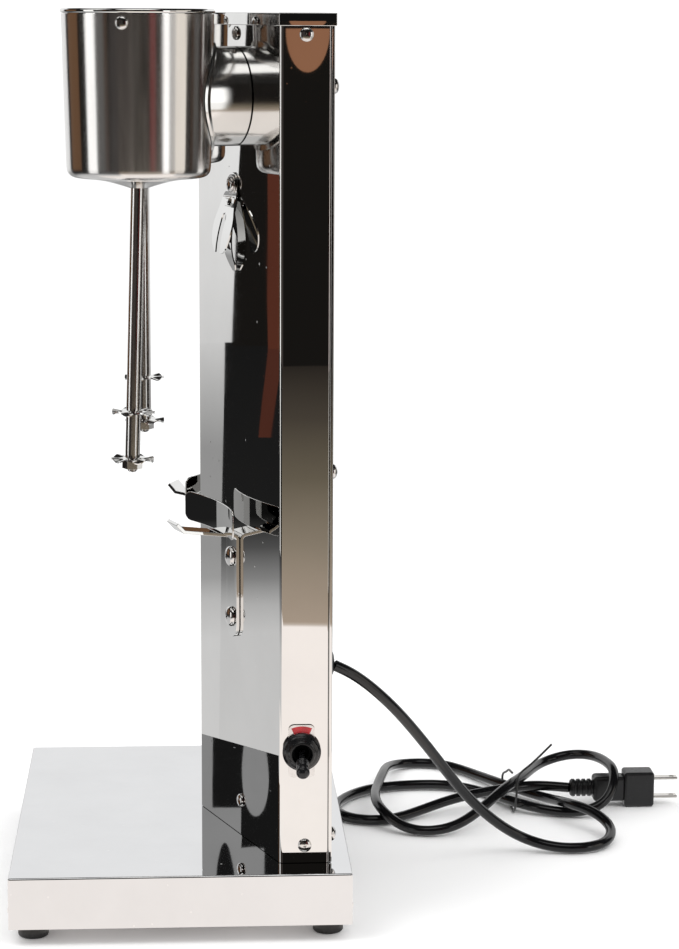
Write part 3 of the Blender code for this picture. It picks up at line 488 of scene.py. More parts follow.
def satin_steel(name, tone, rough):
    """Drawn bar and small pressed pieces."""
    n = Nodes(name)
    grain = n.noise(180.0, 3.0, 0.6, (1.0, 1.0, 0.12))
    wear = n.noise(60.0, 3.0, 0.6)
    n.set(metallic=1.0, base_color=n.worn(wear, 0.35, 0.7, tone, 0.86),
          roughness=n.ramp(grain, (0.3, rough * 0.7), (0.75, rough * 1.5)))
    n.bump([(grain, 0.01), (wear, 0.02)])
    return n.material


def cast_metal(name, tone, rough):
    """Dull plated, wound or cast metal of the inside pieces."""
    n = Nodes(name)
    grain = n.noise(240.0, 4.0, 0.6)
    patch = n.noise(35.0, 3.0, 0.55)
    n.set(metallic=1.0, base_color=n.worn(patch, 0.3, 0.7, tone, 0.75),
          roughness=n.ramp(grain, (0.3, rough * 0.8), (0.7, rough * 1.3)))
    n.bump([(grain, 0.03)])
    return n.material


def copper_wire(name):
    """Varnished windings: fine turns side by side over a laminated core."""
    n = Nodes(name)
    turns = n.noise(520.0, 1.0, 0.5, (0.15, 0.15, 1.0))
    colour = n.mix(n.ramp(turns, (0.35, 0.0), (0.65, 1.0)), (0.30, 0.13, 0.05), (0.62, 0.30, 0.14))
    n.set(metallic=1.0, coat_weight=0.4, coat_roughness=0.2, base_color=colour,
          roughness=n.ramp(turns, (0.3, 0.28), (0.7, 0.45)))
    n.bump([(turns, 0.15)])
    return n.material


def moulded(name, tone, rough, grain_depth=0.02, dust=0.25, specular=0.5):
    """Moulded rubber or plastic: fine grain, faint flow marks, a little dust."""
    n = Nodes(name)
    grain = n.noise(420.0, 3.0, 0.6)
    flow = n.noise(40.0, 3.0, 0.55)
    specks = n.dust(160.0, 0.05, 25.0, 0.52, 0.6, dust)
    lighter = tuple(c * 1.5 + 0.001 for c in tone)
    colour = n.mix(n.ramp(flow, (0.35, 0.0), (0.7, 1.0)), tone, lighter)
    n.set(specular_ior_level=specular, base_color=n.mix(specks, colour, (0.35, 0.34, 0.33)),
          roughness=n.ramp(grain, (0.3, rough * 0.8), (0.75, rough * 1.25)))
    n.bump([(grain, grain_depth), (flow, 0.05)])
    return n.material


def switch_plate_paint(name, centre):
    """A bright steel plate with a red enamelled ring segment above the switch."""
    n = Nodes(name)
    split = n.add("ShaderNodeSeparateXYZ")
    n.link(n.place, split.inputs[0])
    height = n.math("SUBTRACT", split.outputs["Z"], centre[2] * MM)
    side = n.math("SUBTRACT", split.outputs["Y"], centre[1] * MM)
    radius = n.math("SQRT", n.math("ADD", n.math("MULTIPLY", height, height),
                                   n.math("MULTIPLY", side, side)), 0.0)
    ring = n.math("MULTIPLY", n.ramp(radius, (0.0108, 0.0), (0.0110, 1.0)),
                  n.ramp(radius, (0.0146, 1.0), (0.0148, 0.0)))
    spread = n.math("SUBTRACT", n.math("MULTIPLY", height, 0.45), n.math("ABSOLUTE", side, 0.0))
    red = n.math("MULTIPLY", ring, n.ramp(spread, (0.0, 0.0), (0.0002, 1.0)))
    wear = n.noise(150.0, 3.0, 0.6)
    paint = n.mix(n.ramp(wear, (0.4, 0.0), (0.75, 1.0)), (0.42, 0.012, 0.018), (0.30, 0.010, 0.014))
    n.set(base_color=n.mix(red, (0.78, 0.77, 0.76), paint), metallic=n.ramp(red, (0.0, 1.0), (1.0, 0.0)),
          roughness=n.ramp(wear, (0.3, 0.16), (0.7, 0.3)))
    n.bump([(wear, 0.02)])
    return n.material


MATERIALS = {
    "base_steel": polished_steel("base_steel", (0.76, 0.765, 0.775), wave=0.10, wave_scale=8.0, dust=0.35),
    "column_steel": polished_steel("column_steel", (0.80, 0.795, 0.785), wave=0.09, wave_scale=8.0),
    "neck_steel": polished_steel("neck_steel", (0.82, 0.815, 0.80), wave=0.35, wave_scale=30.0, rough=0.12),
    "sheet_steel": polished_steel("sheet_steel", (0.80, 0.80, 0.79), wave=0.04, wave_scale=30.0, dust=0.2),
    "drum_steel": turned_steel("drum_steel"),
    "bar_steel": satin_steel("bar_steel", (0.80, 0.79, 0.78), 0.13),
    "screw_steel": satin_steel("screw_steel", (0.74, 0.73, 0.72), 0.12),
    "nickel": satin_steel("nickel", (0.74, 0.72, 0.68), 0.14),
    "zinc": cast_metal("zinc", (0.50, 0.50, 0.51), 0.4),
    "brass": cast_metal("brass", (0.72, 0.56, 0.28), 0.25),
    "copper": copper_wire("copper"),
    "foot_rubber": moulded("foot_rubber", (0.007, 0.007, 0.007), 0.5),
    "boot_rubber": moulded("boot_rubber", (0.004, 0.004, 0.0045), 0.22, 0.02, 0.5),
    "cord_rubber": moulded("cord_rubber", (0.003, 0.003, 0.0035), 0.16, 0.005, 0.1),
    "plug_rubber": moulded("plug_rubber", (0.006, 0.006, 0.0065), 0.34, 0.03, 0.15),
    "black_plastic": moulded("black_plastic", (0.02, 0.02, 0.02), 0.4),
    "bore_plastic": moulded("bore_plastic", (0.006, 0.006, 0.006), 0.6, specular=0.0),
    "carbon": moulded("carbon", (0.03, 0.03, 0.03), 0.6),
    "switch_plate": switch_plate_paint("switch_plate", SWITCH),
}


def dress(obj, material):
    obj.data.materials.clear()
    obj.data.materials.append(MATERIALS[material])
    if obj.type == "MESH":
        for polygon in obj.data.polygons:
            polygon.material_index = 0
    return obj


def true_flats(obj):
    """Keeps large flat faces flat in shading, so that only the small rounded ones bend a reflection."""
    modifier = obj.modifiers.new("Normals", "WEIGHTED_NORMAL")
    modifier.keep_sharp = True
    modifier.weight = 100
    bpy.context.view_layer.update()
    graph = bpy.context.evaluated_depsgraph_get()
    mesh = bpy.data.meshes.new_from_object(obj.evaluated_get(graph), preserve_all_data_layers=True,
                                           depsgraph=graph)
    obj.modifiers.clear()
    obj.data = mesh
    return obj


def show(obj, material, body="root", nodes=()):
    """Finishes a piece: its material, the body it rides on and what it stands for."""
    if obj.type == "MESH":
        true_flats(obj)
    dress(obj, material)
    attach(obj, body)
    if nodes:
        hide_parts(*nodes)
    return obj


def show_fine(node, material, width, segments=2, angle=30.0, body="root"):
    """Shows a CAD node's own shape with its edges softened."""
    return show(fine_copy(node, width, segments, angle), material, body, [node])


def show_pair(obj, base_name, material, bodies=("root", "root"), replaces=True):
    """Shows a right-hand piece and its mirror image."""
    other = twin(obj, base_name + "_left_look")
    obj.name = base_name + "_right_look"
    show(obj, material, bodies[0], [base_name + "_right"] if replaces else ())
    show(other, material, bodies[1], [base_name + "_left"] if replaces else ())


# ---------------------------------------------------------------- fasteners

def cross_recess(depth, reach):
    """A tapering cross-shaped cutter that points down from z = 0."""
    blades = []
    for turn in (0.0, 90.0):
        bm = bmesh.new()
        bmesh.ops.create_cone(bm, cap_ends=True, segments=4, radius1=reach * 0.25 * MM,
                              radius2=reach * MM, depth=2 * depth * MM)
        bmesh.ops.rotate(bm, cent=(0, 0, 0), matrix=Matrix.Rotation(math.radians(45), 3, "Z"),
                         verts=bm.verts)
        bmesh.ops.scale(bm, vec=(1.0, 0.28, 1.0), verts=bm.verts)
        bmesh.ops.rotate(bm, cent=(0, 0, 0), matrix=Matrix.Rotation(math.radians(turn), 3, "Z"),
                         verts=bm.verts)
        blades.append(from_bmesh(bm, "blade"))
    return cut(blades[0], blades[1], "UNION")


def pan_screw(head, height, shank, length, washer=0.0):
    """A cross-head pan screw that stands on z = 0 with its shank below; a washer is optional."""
    seat = 0.3 + (0.7 if washer else 0.0)
    dome = [(0.0, seat + height)]
    dome += [(head * math.sin(math.radians(a)), seat + height * math.cos(math.radians(a)) ** 0.8)
             for a in (12, 24, 36, 48, 60, 72, 82)]
    dome += [(head, seat + height * 0.08), (head * 0.97, seat)]
    profile = dome
    if washer:
        profile += [(washer * 0.97, seat), (washer, seat - 0.15), (washer, 0.4), (washer * 0.97, 0.3)]
    profile += [(shank, 0.3), (shank, -length + 0.6), (shank - 0.5, -length), (0.0, -length)]
    screw = lathe("screw", profile, 40)
    recess = moved(cross_recess(height * 0.75, head * 0.55),
                   Matrix.Translation((0, 0, (seat + height) * MM)))
    return cut(screw, recess)


def mirrored_places(places):
    both = []
    for point, direction in places:
        both.append((Vector(point), Vector(direction)))
        both.append((Vector((-point[0], point[1], point[2])),
                     Vector((-direction[0], direction[1], direction[2]))))
    return both


def set_of_screws(name, pattern, places, material="screw_steel"):
    """Copies of one screw at several places, each turned a little differently, as one piece."""
    copies = []
    for i, (point, direction) in enumerate(places):
        spin = Matrix.Rotation(0.7 * i + 0.3, 4, "Z")
        copies.append(twin(pattern, f"{name}_{i}", facing(point, direction) @ spin))
    bpy.data.objects.remove(pattern, do_unlink=True)
    return show(joined(name, copies), material)


LID_SCREW_ANGLES = (-11.0, 109.0, 229.0)
LID_SCREW_Z = 515.4
FACE_OUT = tuple(OUT)
TOP_SCREW_Z = 509.6
FACE_SCREWS = [(face_point(FACE_CENTRE + 4.0, 0.0, TOP_SCREW_Z), FACE_OUT),
               (face_point(FACE_CENTRE + 9.0, 0.0, 61.5), FACE_OUT)]
SIDE_SCREWS = [((HALF_WIDTH, 71.0, z), (1.0, 0.0, 0.0)) for z in (50.8, TOP_SCREW_Z)]
REAR_SCREWS = [((98.0, REAR_HIGH.y, z), (0.0, 1.0, 0.0)) for z in (53.0, 266.0, 481.5)]
CLIP_SCREW = (face_point(FACE_CENTRE, 1.1, CLIP_SCREW_Z), FACE_OUT)
BRACKET_SCREW_Z = {"lower": 171.7, "upper": 207.7}


def lid_screw_places():
    places = []
    for angle in LID_SCREW_ANGLES:
        direction = Vector((math.cos(math.radians(angle)), math.sin(math.radians(angle)), 0.0))
        point = HEAD_AXIS + direction * head_radius(LID_SCREW_Z) + Vector((0, 0, LID_SCREW_Z))
        places.append((point, direction))
    return places


def build_fasteners():
    set_of_screws("lid_screws", pan_screw(3.7, 1.9, 1.5, 3.2), mirrored_places(lid_screw_places()))
    set_of_screws("column_face_screws", pan_screw(3.9, 1.9, 1.75, 5.0), mirrored_places(FACE_SCREWS))
    set_of_screws("column_side_screws", pan_screw(3.9, 1.9, 1.75, 5.0), mirrored_places(SIDE_SCREWS))
    set_of_screws("rear_cover_screws", pan_screw(4.3, 3.0, 1.75, 7.0), mirrored_places(REAR_SCREWS))
    set_of_screws("clip_screws", pan_screw(4.3, 2.1, 1.75, 5.5, washer=5.7),
                  mirrored_places([CLIP_SCREW]))
    for level, z in BRACKET_SCREW_Z.items():
        screw = pan_screw(5.9, 2.9, 1.75, 6.5)
        place = facing(face_point(FACE_CENTRE, 2.3, z), FACE_OUT)
        show_pair(moved(screw, place @ Matrix.Rotation(0.5, 4, "Z")), "bracket_screw_" + level,
                  "screw_steel")
    rivet = lathe("rivet", [(0.0, 1.3), (0.9, 1.24), (1.7, 1.02), (2.3, 0.68), (2.6, 0.3), (1.5, 0.3),
                            (1.5, -3.4), (0.0, -3.4)], 24)
    depth = BASE_HIGH.y
    rivets = [((x, side * depth, 17.0), (0.0, side, 0.0))
              for side in (-1, 1) for x in (60.0, BASE_HIGH.x - 14.0)]
    set_of_screws("base_rivets", rivet, mirrored_places(rivets))


# ---------------------------------------------------------------- base

def build_base():
    wide, deep = BASE_HIGH.x - BASE_LOW.x, BASE_HIGH.y - BASE_LOW.y
    low, high = BASE_LOW.z, BASE_HIGH.z
    bm = bmesh.new()
    bmesh.ops.create_cube(bm, size=1.0)
    bmesh.ops.scale(bm, vec=Vector((wide, deep, high - low)) * MM, verts=bm.verts)
    bottom = [f for f in bm.faces if f.normal.z < -0.5]
    bmesh.ops.delete(bm, geom=bottom, context="FACES_ONLY")
    edges = [e for e in bm.edges if not e.is_boundary]
    bmesh.ops.bevel(bm, geom=edges, offset=1.1 * MM, segments=5, profile=0.5, affect="EDGES")
    bmesh.ops.translate(bm, vec=(0, 0, (low + high) / 2 * MM), verts=bm.verts)
    cover = from_bmesh(bm, "base_cover_look")
    sheet = cover.modifiers.new("Sheet", "SOLIDIFY")
    sheet.thickness = SHEET * MM
    sheet.offset = -1.0
    show(applied(cover), "base_steel", nodes=["base_cover"])
    show_fine("base_bottom_plate", "zinc", 0.3)
    for end in ("front", "rear"):
        for side, _ in SIDES:
            node = f"foot_{end}_{side}"
            foot_low, foot_high = node_box(node)
            centre = (foot_low + foot_high) / 2
            radius, top = (foot_high.x - foot_low.x) / 2, foot_high.z
            profile = [(2.4, top), (radius - 0.4, top), (radius, top - 0.5), (radius - 0.2, 4.0)]
            profile += arc(radius - 1.6, 1.4, 1.35, -5, -90, 6)
            profile += [(5.0, 0.05), (4.6, 0.5), (4.6, 3.4), (2.4, 3.5)]
            foot = lathe(node + "_look", profile, 64, closed=True)
            centre.z = 0.0
            show(moved(foot, Matrix.Translation(centre * MM)), "foot_rubber", nodes=[node])
            stud = lathe("foot_screw_" + end + "_" + side,
                         [(0.0, 15.0), (1.8, 15.0), (1.8, 3.6), (3.8, 3.4), (3.8, 2.0), (3.2, 1.5),
                          (0.0, 1.2)], 32)
            show(moved(stud, Matrix.Translation(centre * MM)), "zinc")


# ---------------------------------------------------------------- column

REAR_FLANGE = 18.0
# Stands a shape's own Z out of the right-hand strip at the switch
SWITCH_OUTWARD = basis((0, 0, -1), (0, 1, 0), SWITCH)


def build_column():
    rear = SHELL_HIGH.y
    corners = [(-HALF_WIDTH + REAR_FLANGE, rear), (-HALF_WIDTH, rear), (-HALF_WIDTH, EDGE_Y),
               (0.0, RIDGE_Y), (HALF_WIDTH, EDGE_Y), (HALF_WIDTH, rear),
               (HALF_WIDTH - REAR_FLANGE, rear)]
    path = rounded_path(corners, (0.6, 0.6, 2.6, 1.6, 2.6, 0.6, 0.6), 9)
    shell = prism("column_shell_look", thick_path(path, SHEET), SHELL_LOW.z, SHELL_HIGH.z)
    hole = [(0.0, 4.0), (SWITCH_HOLE, 4.0), (SWITCH_HOLE, -4.0), (0.0, -4.0)]
    cutter = moved(lathe("hole", hole, 48), SWITCH_OUTWARD)
    shell = cut(cut(shell, twin(cutter, "hole_left")), cutter)
    show(shell, "column_steel", nodes=["column_shell"])
    show_fine("column_rear_cover", "column_steel", 0.9, 4)
    show_fine("column_cap", "sheet_steel", 0.35, 3, 12.0)
    show_fine("column_foot_plate", "zinc", 0.3)
    bolts = []
    top = SHELL_LOW.z + 2.3
    for x in (-70.0, 70.0):
        for y in (58.0, 76.0):
            bolt = lathe("bolt", [(0.0, top + 3.0), (3.6, top + 3.0), (4.0, top + 2.6), (4.0, top),
                                  (2.4, top), (2.4, 34.0), (0.0, 34.0)], 6)
            bolts.append(moved(bolt, Matrix.Translation((x * MM, y * MM, 0.0))))
    show(joined("column_bolts", bolts), "zinc")


# ---------------------------------------------------------------- heads

def build_head():
    bottom, top, corner, sheet = HEAD_LOW.z, HEAD_HIGH.z, 5.0, 1.0
    centre = HEAD_BOTTOM_RADIUS - corner
    outer = [(head_radius(z), z) for z in np.linspace(top, bottom + corner + 1.0, 9)]
    outer += arc(centre, bottom + corner, corner, 0, -90, 10)
    inner = arc(centre, bottom + corner, corner - sheet, -90, 0, 8)
    inner += [(head_radius(z) - sheet, z) for z in (bottom + corner + 1.0, top)]
    profile = outer + [(7.2, bottom), (7.0, bottom + 0.2), (7.0, bottom + sheet)] + inner
    shell = moved(lathe("shell", profile, 160, closed=True), Matrix.Translation(HEAD_AXIS * MM))
    show_pair(shell, "head_shell", "drum_steel")

    rim, base, lid_top = (LID_HIGH.x - LID_LOW.x) / 2, top + 0.3, LID_HIGH.z
    skirt = head_radius(top) - sheet - 0.3
    roll = (lid_top - base) / 2 - 0.25
    profile = [(0.0, lid_top - 0.1), (20.0, lid_top - 0.12), (rim - 4.6, lid_top - 0.55),
               (rim - 3.4, lid_top - 0.75), (rim - 2.7, lid_top - 0.6)]
    profile += arc(rim - roll, base + roll, roll, 100, -90, 14)
    profile += [(skirt, base), (skirt, LID_LOW.z), (skirt - 0.9, LID_LOW.z),
                (skirt - 0.9, lid_top - 2.0), (rim - 4.6, lid_top - 1.7), (0.0, lid_top - 1.2)]
    lid = moved(lathe("lid", profile, 160), Matrix.Translation(HEAD_AXIS * MM))
    show_pair(lid, "head_lid", "sheet_steel")

    boss = [(27.0, bottom - 0.3), (26.8, bottom - 0.9)]
    boss += [(26.8 - 20.6 * t, bottom - 0.9 - 5.0 * t ** 1.35) for t in np.linspace(0.08, 1.0, 8)]
    boss += [(5.6, bottom - 6.15), (5.0, bottom - 6.1), (5.0, bottom - 0.3)]
    ring = moved(lathe("boss", boss, 96, closed=True), Matrix.Translation(HEAD_AXIS * MM))
    show_pair(ring, "spindle_boss", "neck_steel")


def neck_strip(name, radius, inner, start_out, end_gap, rows, count=144):
    """A closed sleeve about the neck's axis whose far end follows the drum's surface.

    Its near end stands at start_out off the column's face and its far end end_gap short of
    the drum; radius and inner give the sleeve's outside and bore.
    """
    bm = bmesh.new()
    loops = []
    for bore in (False, True):
        size = inner if bore else radius
        for share in np.linspace(0.0, 1.0, rows):
            loop = []
            for i in range(count):
                angle = 2 * math.pi * i / count
                across, rise = size * math.cos(angle), size * math.sin(angle)
                drum = head_radius(NECK_Z + rise) + end_gap
                far = HEAD_STANDOFF - math.sqrt(drum * drum - across * across)
                out = start_out(far) + (far - start_out(far)) * share
                loop.append(bm.verts.new(face_point(FACE_CENTRE + across, out, NECK_Z + rise) * MM))
            loops.append(loop)
    outer, bores = loops[:rows], loops[rows:]
    order = outer + bores[::-1]
    for a, b in zip(order, order[1:] + order[:1]):
        for i in range(count):
            k = (i + 1) % count
            bm.faces.new((a[i], a[k], b[k], b[i]))
    return from_bmesh(bm, name)


def build_neck():
    tube = neck_strip("neck_tube", NECK_RADIUS, NECK_RADIUS - 1.5, lambda far: 0.55, 0.3, 4)
    flange = neck_strip("neck_flange", NECK_RADIUS + 3.1, NECK_RADIUS - 1.4,
                        lambda far: far - 1.5, 0.3, 2)
    neck = bevelled(cut(tube, flange, "UNION"), 0.25, 3, 40.0)
    show_pair(neck, "neck", "neck_steel")


def build_motors():
    for side, _ in SIDES:
        for node, material in (("motor_frame", "zinc"), ("motor_stator", "copper"),
                               ("motor_bearing", "brass"), ("motor_rotor", "copper")):
            dress(frame["nodes"][f"{node}_{side}"], material)
    bearing = lathe("bearing", [(6.4, 500.6), (6.4, 495.4), (3.8, 495.4), (3.8, 500.6)], 48, closed=True)
    bearing = bevelled(moved(bearing, Matrix.Translation(HEAD_AXIS * MM)), 0.3)
    show_pair(bearing, "motor_upper_bearing", "brass", replaces=False)
    blocks = []
    for side in (-1, 1):
        block = rounded_box("brush", (9.0, 5.0, 4.0), (0, 0, 0), 0.4, 2)
        centre = HEAD_AXIS + OUT * 14.8 * side + Vector((0, 0, 491.2))
        blocks.append(moved(block, basis(OUT, ALONG, centre)))
    show_pair(joined("brushes", blocks), "motor_brushes", "carbon", replaces=False)


# ---------------------------------------------------------------- spindles

def spindle_frame(side):
    """The matrix of one spindle's own axis, whose origin is at floor height on that axis."""
    joint = JOINTS[f"spindle_{side}_spin"]
    axis = Vector(joint["axis"]).normalized()
    pivot = Vector(joint["pos_m"])
    turn = Vector((0.0, 0.0, 1.0)).rotation_difference(axis).to_matrix().to_4x4()
    return Matrix.Translation(pivot) @ turn @ Matrix.Translation((0.0, 0.0, -pivot.z))


DISC_Z = {"upper": 296.4, "lower": 269.2}
DISC_RADIUS = 12.2
ROD_RADIUS = 2.6
SPINDLE_RADIUS = 4.2
SPINDLE_TOP = 425.4
DISC_SHEET = 0.9
DISC_LOOK = 0.6                 # its rim is dressed thinner than the sheet
DISC_WAVES = 6
DISC_LIFT = 1.0
DISC_SEAT = DISC_SHEET / 2 + 0.3


def wavy_disc(name, z, start):
    """A thin stamped disc whose rim rises and falls in waves."""
    rows, spokes, hole = 12, 96, ROD_RADIUS + 0.3
    bm = bmesh.new()
    grid = []
    for i in range(rows + 1):
        radius = hole + (DISC_RADIUS - hole) * i / rows
        lift = DISC_LIFT * max(0.0, (radius - 5.0) / (DISC_RADIUS - 5.0))
        row = []
        for j in range(spokes):
            angle = 2 * math.pi * j / spokes
            height = z + lift * math.sin(DISC_WAVES * (angle - start))
            row.append(bm.verts.new((radius * math.cos(angle) * MM, radius * math.sin(angle) * MM,
                                     height * MM)))
        grid.append(row)
    for inner, outer in zip(grid, grid[1:]):
        for j in range(spokes):
            k = (j + 1) % spokes
            bm.faces.new((inner[j], outer[j], outer[k], inner[k]))
    disc = from_bmesh(bm, name)
    solid = disc.modifiers.new("Solidify", "SOLIDIFY")
    solid.thickness = DISC_LOOK * MM
    solid.offset = 0.0
    return applied(disc)


def build_spindles():
    for side, _ in SIDES:
        body = f"spindle_{side}_group"
        axis = spindle_frame(side)
        shoulder = DISC_Z["upper"] + DISC_SEAT
        bar = [(0.0, SPINDLE_TOP), (3.2, SPINDLE_TOP), (SPINDLE_RADIUS - 0.2, SPINDLE_TOP - 0.8),
               (SPINDLE_RADIUS, SPINDLE_TOP - 1.3), (SPINDLE_RADIUS, shoulder + 0.4),
               (SPINDLE_RADIUS - 0.4, shoulder), (ROD_RADIUS, shoulder), (ROD_RADIUS, 262.5),
               (ROD_RADIUS - 0.6, 261.8), (0.0, 261.8)]
        show(moved(lathe("spindle_" + side + "_look", bar, 64), axis), "bar_steel", body,
             ["spindle_" + side])
        high, low = DISC_Z["upper"] - DISC_SEAT, DISC_Z["lower"] + DISC_SEAT
        sleeve = [(SPINDLE_RADIUS - 0.3, high), (SPINDLE_RADIUS, high - 0.3), (SPINDLE_RADIUS, low + 0.3),
                  (SPINDLE_RADIUS - 0.3, low), (ROD_RADIUS + 0.3, low), (ROD_RADIUS + 0.3, high)]
        show(moved(lathe("spacer_" + side, sleeve, 64, closed=True), axis), "bar_steel", body,
             ["agitator_spacer_" + side])
        for level, z in DISC_Z.items():
            start = 0.0 if level == "upper" else math.radians(30)
            disc = wavy_disc(f"disc_{level}_{side}", z, start)
            show(moved(disc, axis), "sheet_steel", body, [f"agitator_{level}_{side}"])
        show_fine("spindle_nut_" + side, "bar_steel", 0.35, 3, 40.0, body)


# ---------------------------------------------------------------- cup holders

CLIP_SHEET = 0.8


def clip_offset(z, tongue):
    """How far off the face the clip's sheet stands at a height, with its bends eased."""
    if tongue:
        bends = ((372.0, 0.3), (377.0, 1.0), (382.0, 3.2), (390.0, 4.3), (398.0, 3.9), (408.0, 2.4),
                 (414.0, 0.8), (418.0, 0.35))
    else:
        bends = ((380.0, 9.4), (388.0, 8.9), (394.0, 8.0), (400.0, 6.6), (406.0, 4.8), (412.0, 3.0),
                 (417.0, 1.4), (420.5, 0.3), (435.0, 0.3))
    heights, offsets = zip(*bends)
    return float(np.mean([np.interp(z + shift, heights, offsets)
                          for shift in (-3.0, -1.5, 0.0, 1.5, 3.0)]))


def bent_sheet(name, outline, holes, tongue):
    """A flat outline in (along the face, height), bent off the face and given its thickness."""
    sheet = filled_outline(name, [outline, *holes], "FRONT")
    bm = bmesh.new()
    bm.from_mesh(sheet.data)
    for height in np.arange(374.0, 432.0, 1.5):
        geometry = bm.verts[:] + bm.edges[:] + bm.faces[:]
        bmesh.ops.bisect_plane(bm, geom=geometry, plane_co=(0, height * MM, 0), plane_no=(0, 1, 0))
    for vert in bm.verts:
        along, z = vert.co.x / MM, vert.co.y / MM
        twist = 0.0 if tongue else 0.06 * (along - FACE_CENTRE) * min(1.0, max(0.0, (419.0 - z) / 8.0))
        vert.co = face_point(along, clip_offset(z, tongue) + twist, z) * MM
    bmesh.ops.recalc_face_normals(bm, faces=bm.faces)
    facing_out = sum(f.normal.dot(OUT) for f in bm.faces)
    if facing_out < 0:
        bmesh.ops.reverse_faces(bm, faces=bm.faces)
    bm.to_mesh(sheet.data)
    bm.free()
    solid = sheet.modifiers.new("Solidify", "SOLIDIFY")
    solid.thickness = CLIP_SHEET * MM
    solid.offset = 1.0
    return applied(sheet)


def build_clip():
    """A round tab under its screw that springs out into a broad slotted petal, and a tongue behind."""
    c = FACE_CENTRE
    left = [(c - 6.8, 421.0), (c - 11.3, 418.5), (c - 13.8, 411.5), (c - 16.6, 403.5), (c - 15.6, 396.5),
            (c - 12.8, 390.5), (c - 9.0, 387.0), (c - 5.4, 385.6)]
    right = [(c + 2.0, 385.2), (c + 8.5, 386.0), (c + 13.0, 390.5), (c + 15.8, 398.0), (c + 15.0, 404.5),
             (c + 10.5, 411.0), (c + 7.6, 417.5), (c + 6.8, 421.0)]
    slot = [(c - 5.4, 404.5)] + arc(c - 1.7, 404.5, 3.7, 165, 15, 7) + [(c + 2.0, 404.5)]
    outline = arc(c, CLIP_SCREW_Z, 6.8, -10, 190, 17) + softened(left) + slot + softened(right)
    window = rounded_path([(c - 3.0, 412.4), (c + 8.0, 412.4), (c + 6.4, 417.4), (c - 2.0, 417.4)],
                          1.8, 5, closed=True)
    leaf = bent_sheet("clip_leaf", outline, [window], False)
    tongue_outline = rounded_path([(c - 4.0, 418.0), (c - 4.6, 388.0), (c - 0.6, 378.6), (c + 1.6, 375.6),
                                   (c + 5.4, 375.6), (c + 7.0, 379.0), (c + 7.0, 418.0)], 1.6, 5,
                                  closed=True)
    tongue = bent_sheet("clip_tongue", tongue_outline, [], True)
    show_pair(leaf, "cup_clip", "sheet_steel")
    show_pair(tongue, "cup_clip_tongue", "sheet_steel", replaces=False)


def build_bracket():
    for node in ("cup_bracket", "cup_backrest"):
        for side, _ in SIDES:
            show_fine(f"{node}_{side}", "sheet_steel", 0.3, 3, 40.0)


# ---------------------------------------------------------------- switches

def build_switches():
    bellows = []
    for z, radius in ((3.7, 11.0), (4.6, 9.6), (5.6, 9.3), (6.6, 7.9), (7.6, 7.6)):
        bellows.insert(0, (radius, z))
    profile = [(6.1, 8.75)] + arc(6.7, 8.1, 0.62, 80, 0, 4) + bellows[:-1]
    profile += arc(10.2, 3.0, 0.8, 60, 0, 4) + [(11.0, 1.9), (10.7, 1.5), (6.2, 1.5), (6.2, 4.4),
                                                (5.7, 5.2), (5.7, 8.5)]
    boot = moved(lathe("boot", profile, 80, closed=True), SWITCH_OUTWARD)
    show_pair(boot, "switch_boot", "boot_rubber")
    for side, sign in SIDES:
        show_fine("switch_body_" + side, "bore_plastic", 0.3)
        show_fine("switch_plate_" + side, "switch_plate", 0.1)
        build_lever(side, sign)


def build_lever(side, sign):
    """The toggle's bat in its rubber sleeve, which hangs a little below level."""
    pivot = Vector(JOINTS[f"toggle_{side}_flip"]["pos_m"])
    profile = [(0.0, LEVER_LENGTH)]
    for angle in (15, 30, 45, 60, 75, 88):
        turned = math.radians(angle)
        profile.append((3.85 * math.sin(turned), LEVER_LENGTH - 3.6 + 3.6 * math.cos(turned)))
    profile += [(3.8, 17.0), (3.5, 15.4), (3.45, 14.2), (3.7, 13.4), (3.6, 12.8), (3.9, 12.0),
                (3.8, 11.2), (3.9, 10.5), (2.8, 9.8), (1.9, 9.4), (1.9, 0.5), (0.0, 0.0)]
    lever = lathe("lever_" + side, profile, 48)
    turn = Matrix.Rotation(math.radians(90.0 + LEVER_DROOP) * sign, 4, "Y")
    show(moved(lever, Matrix.Translation(pivot) @ turn), "boot_rubber", "toggle_" + side,
         ["toggle_lever_" + side])


# ---------------------------------------------------------------- mains lead

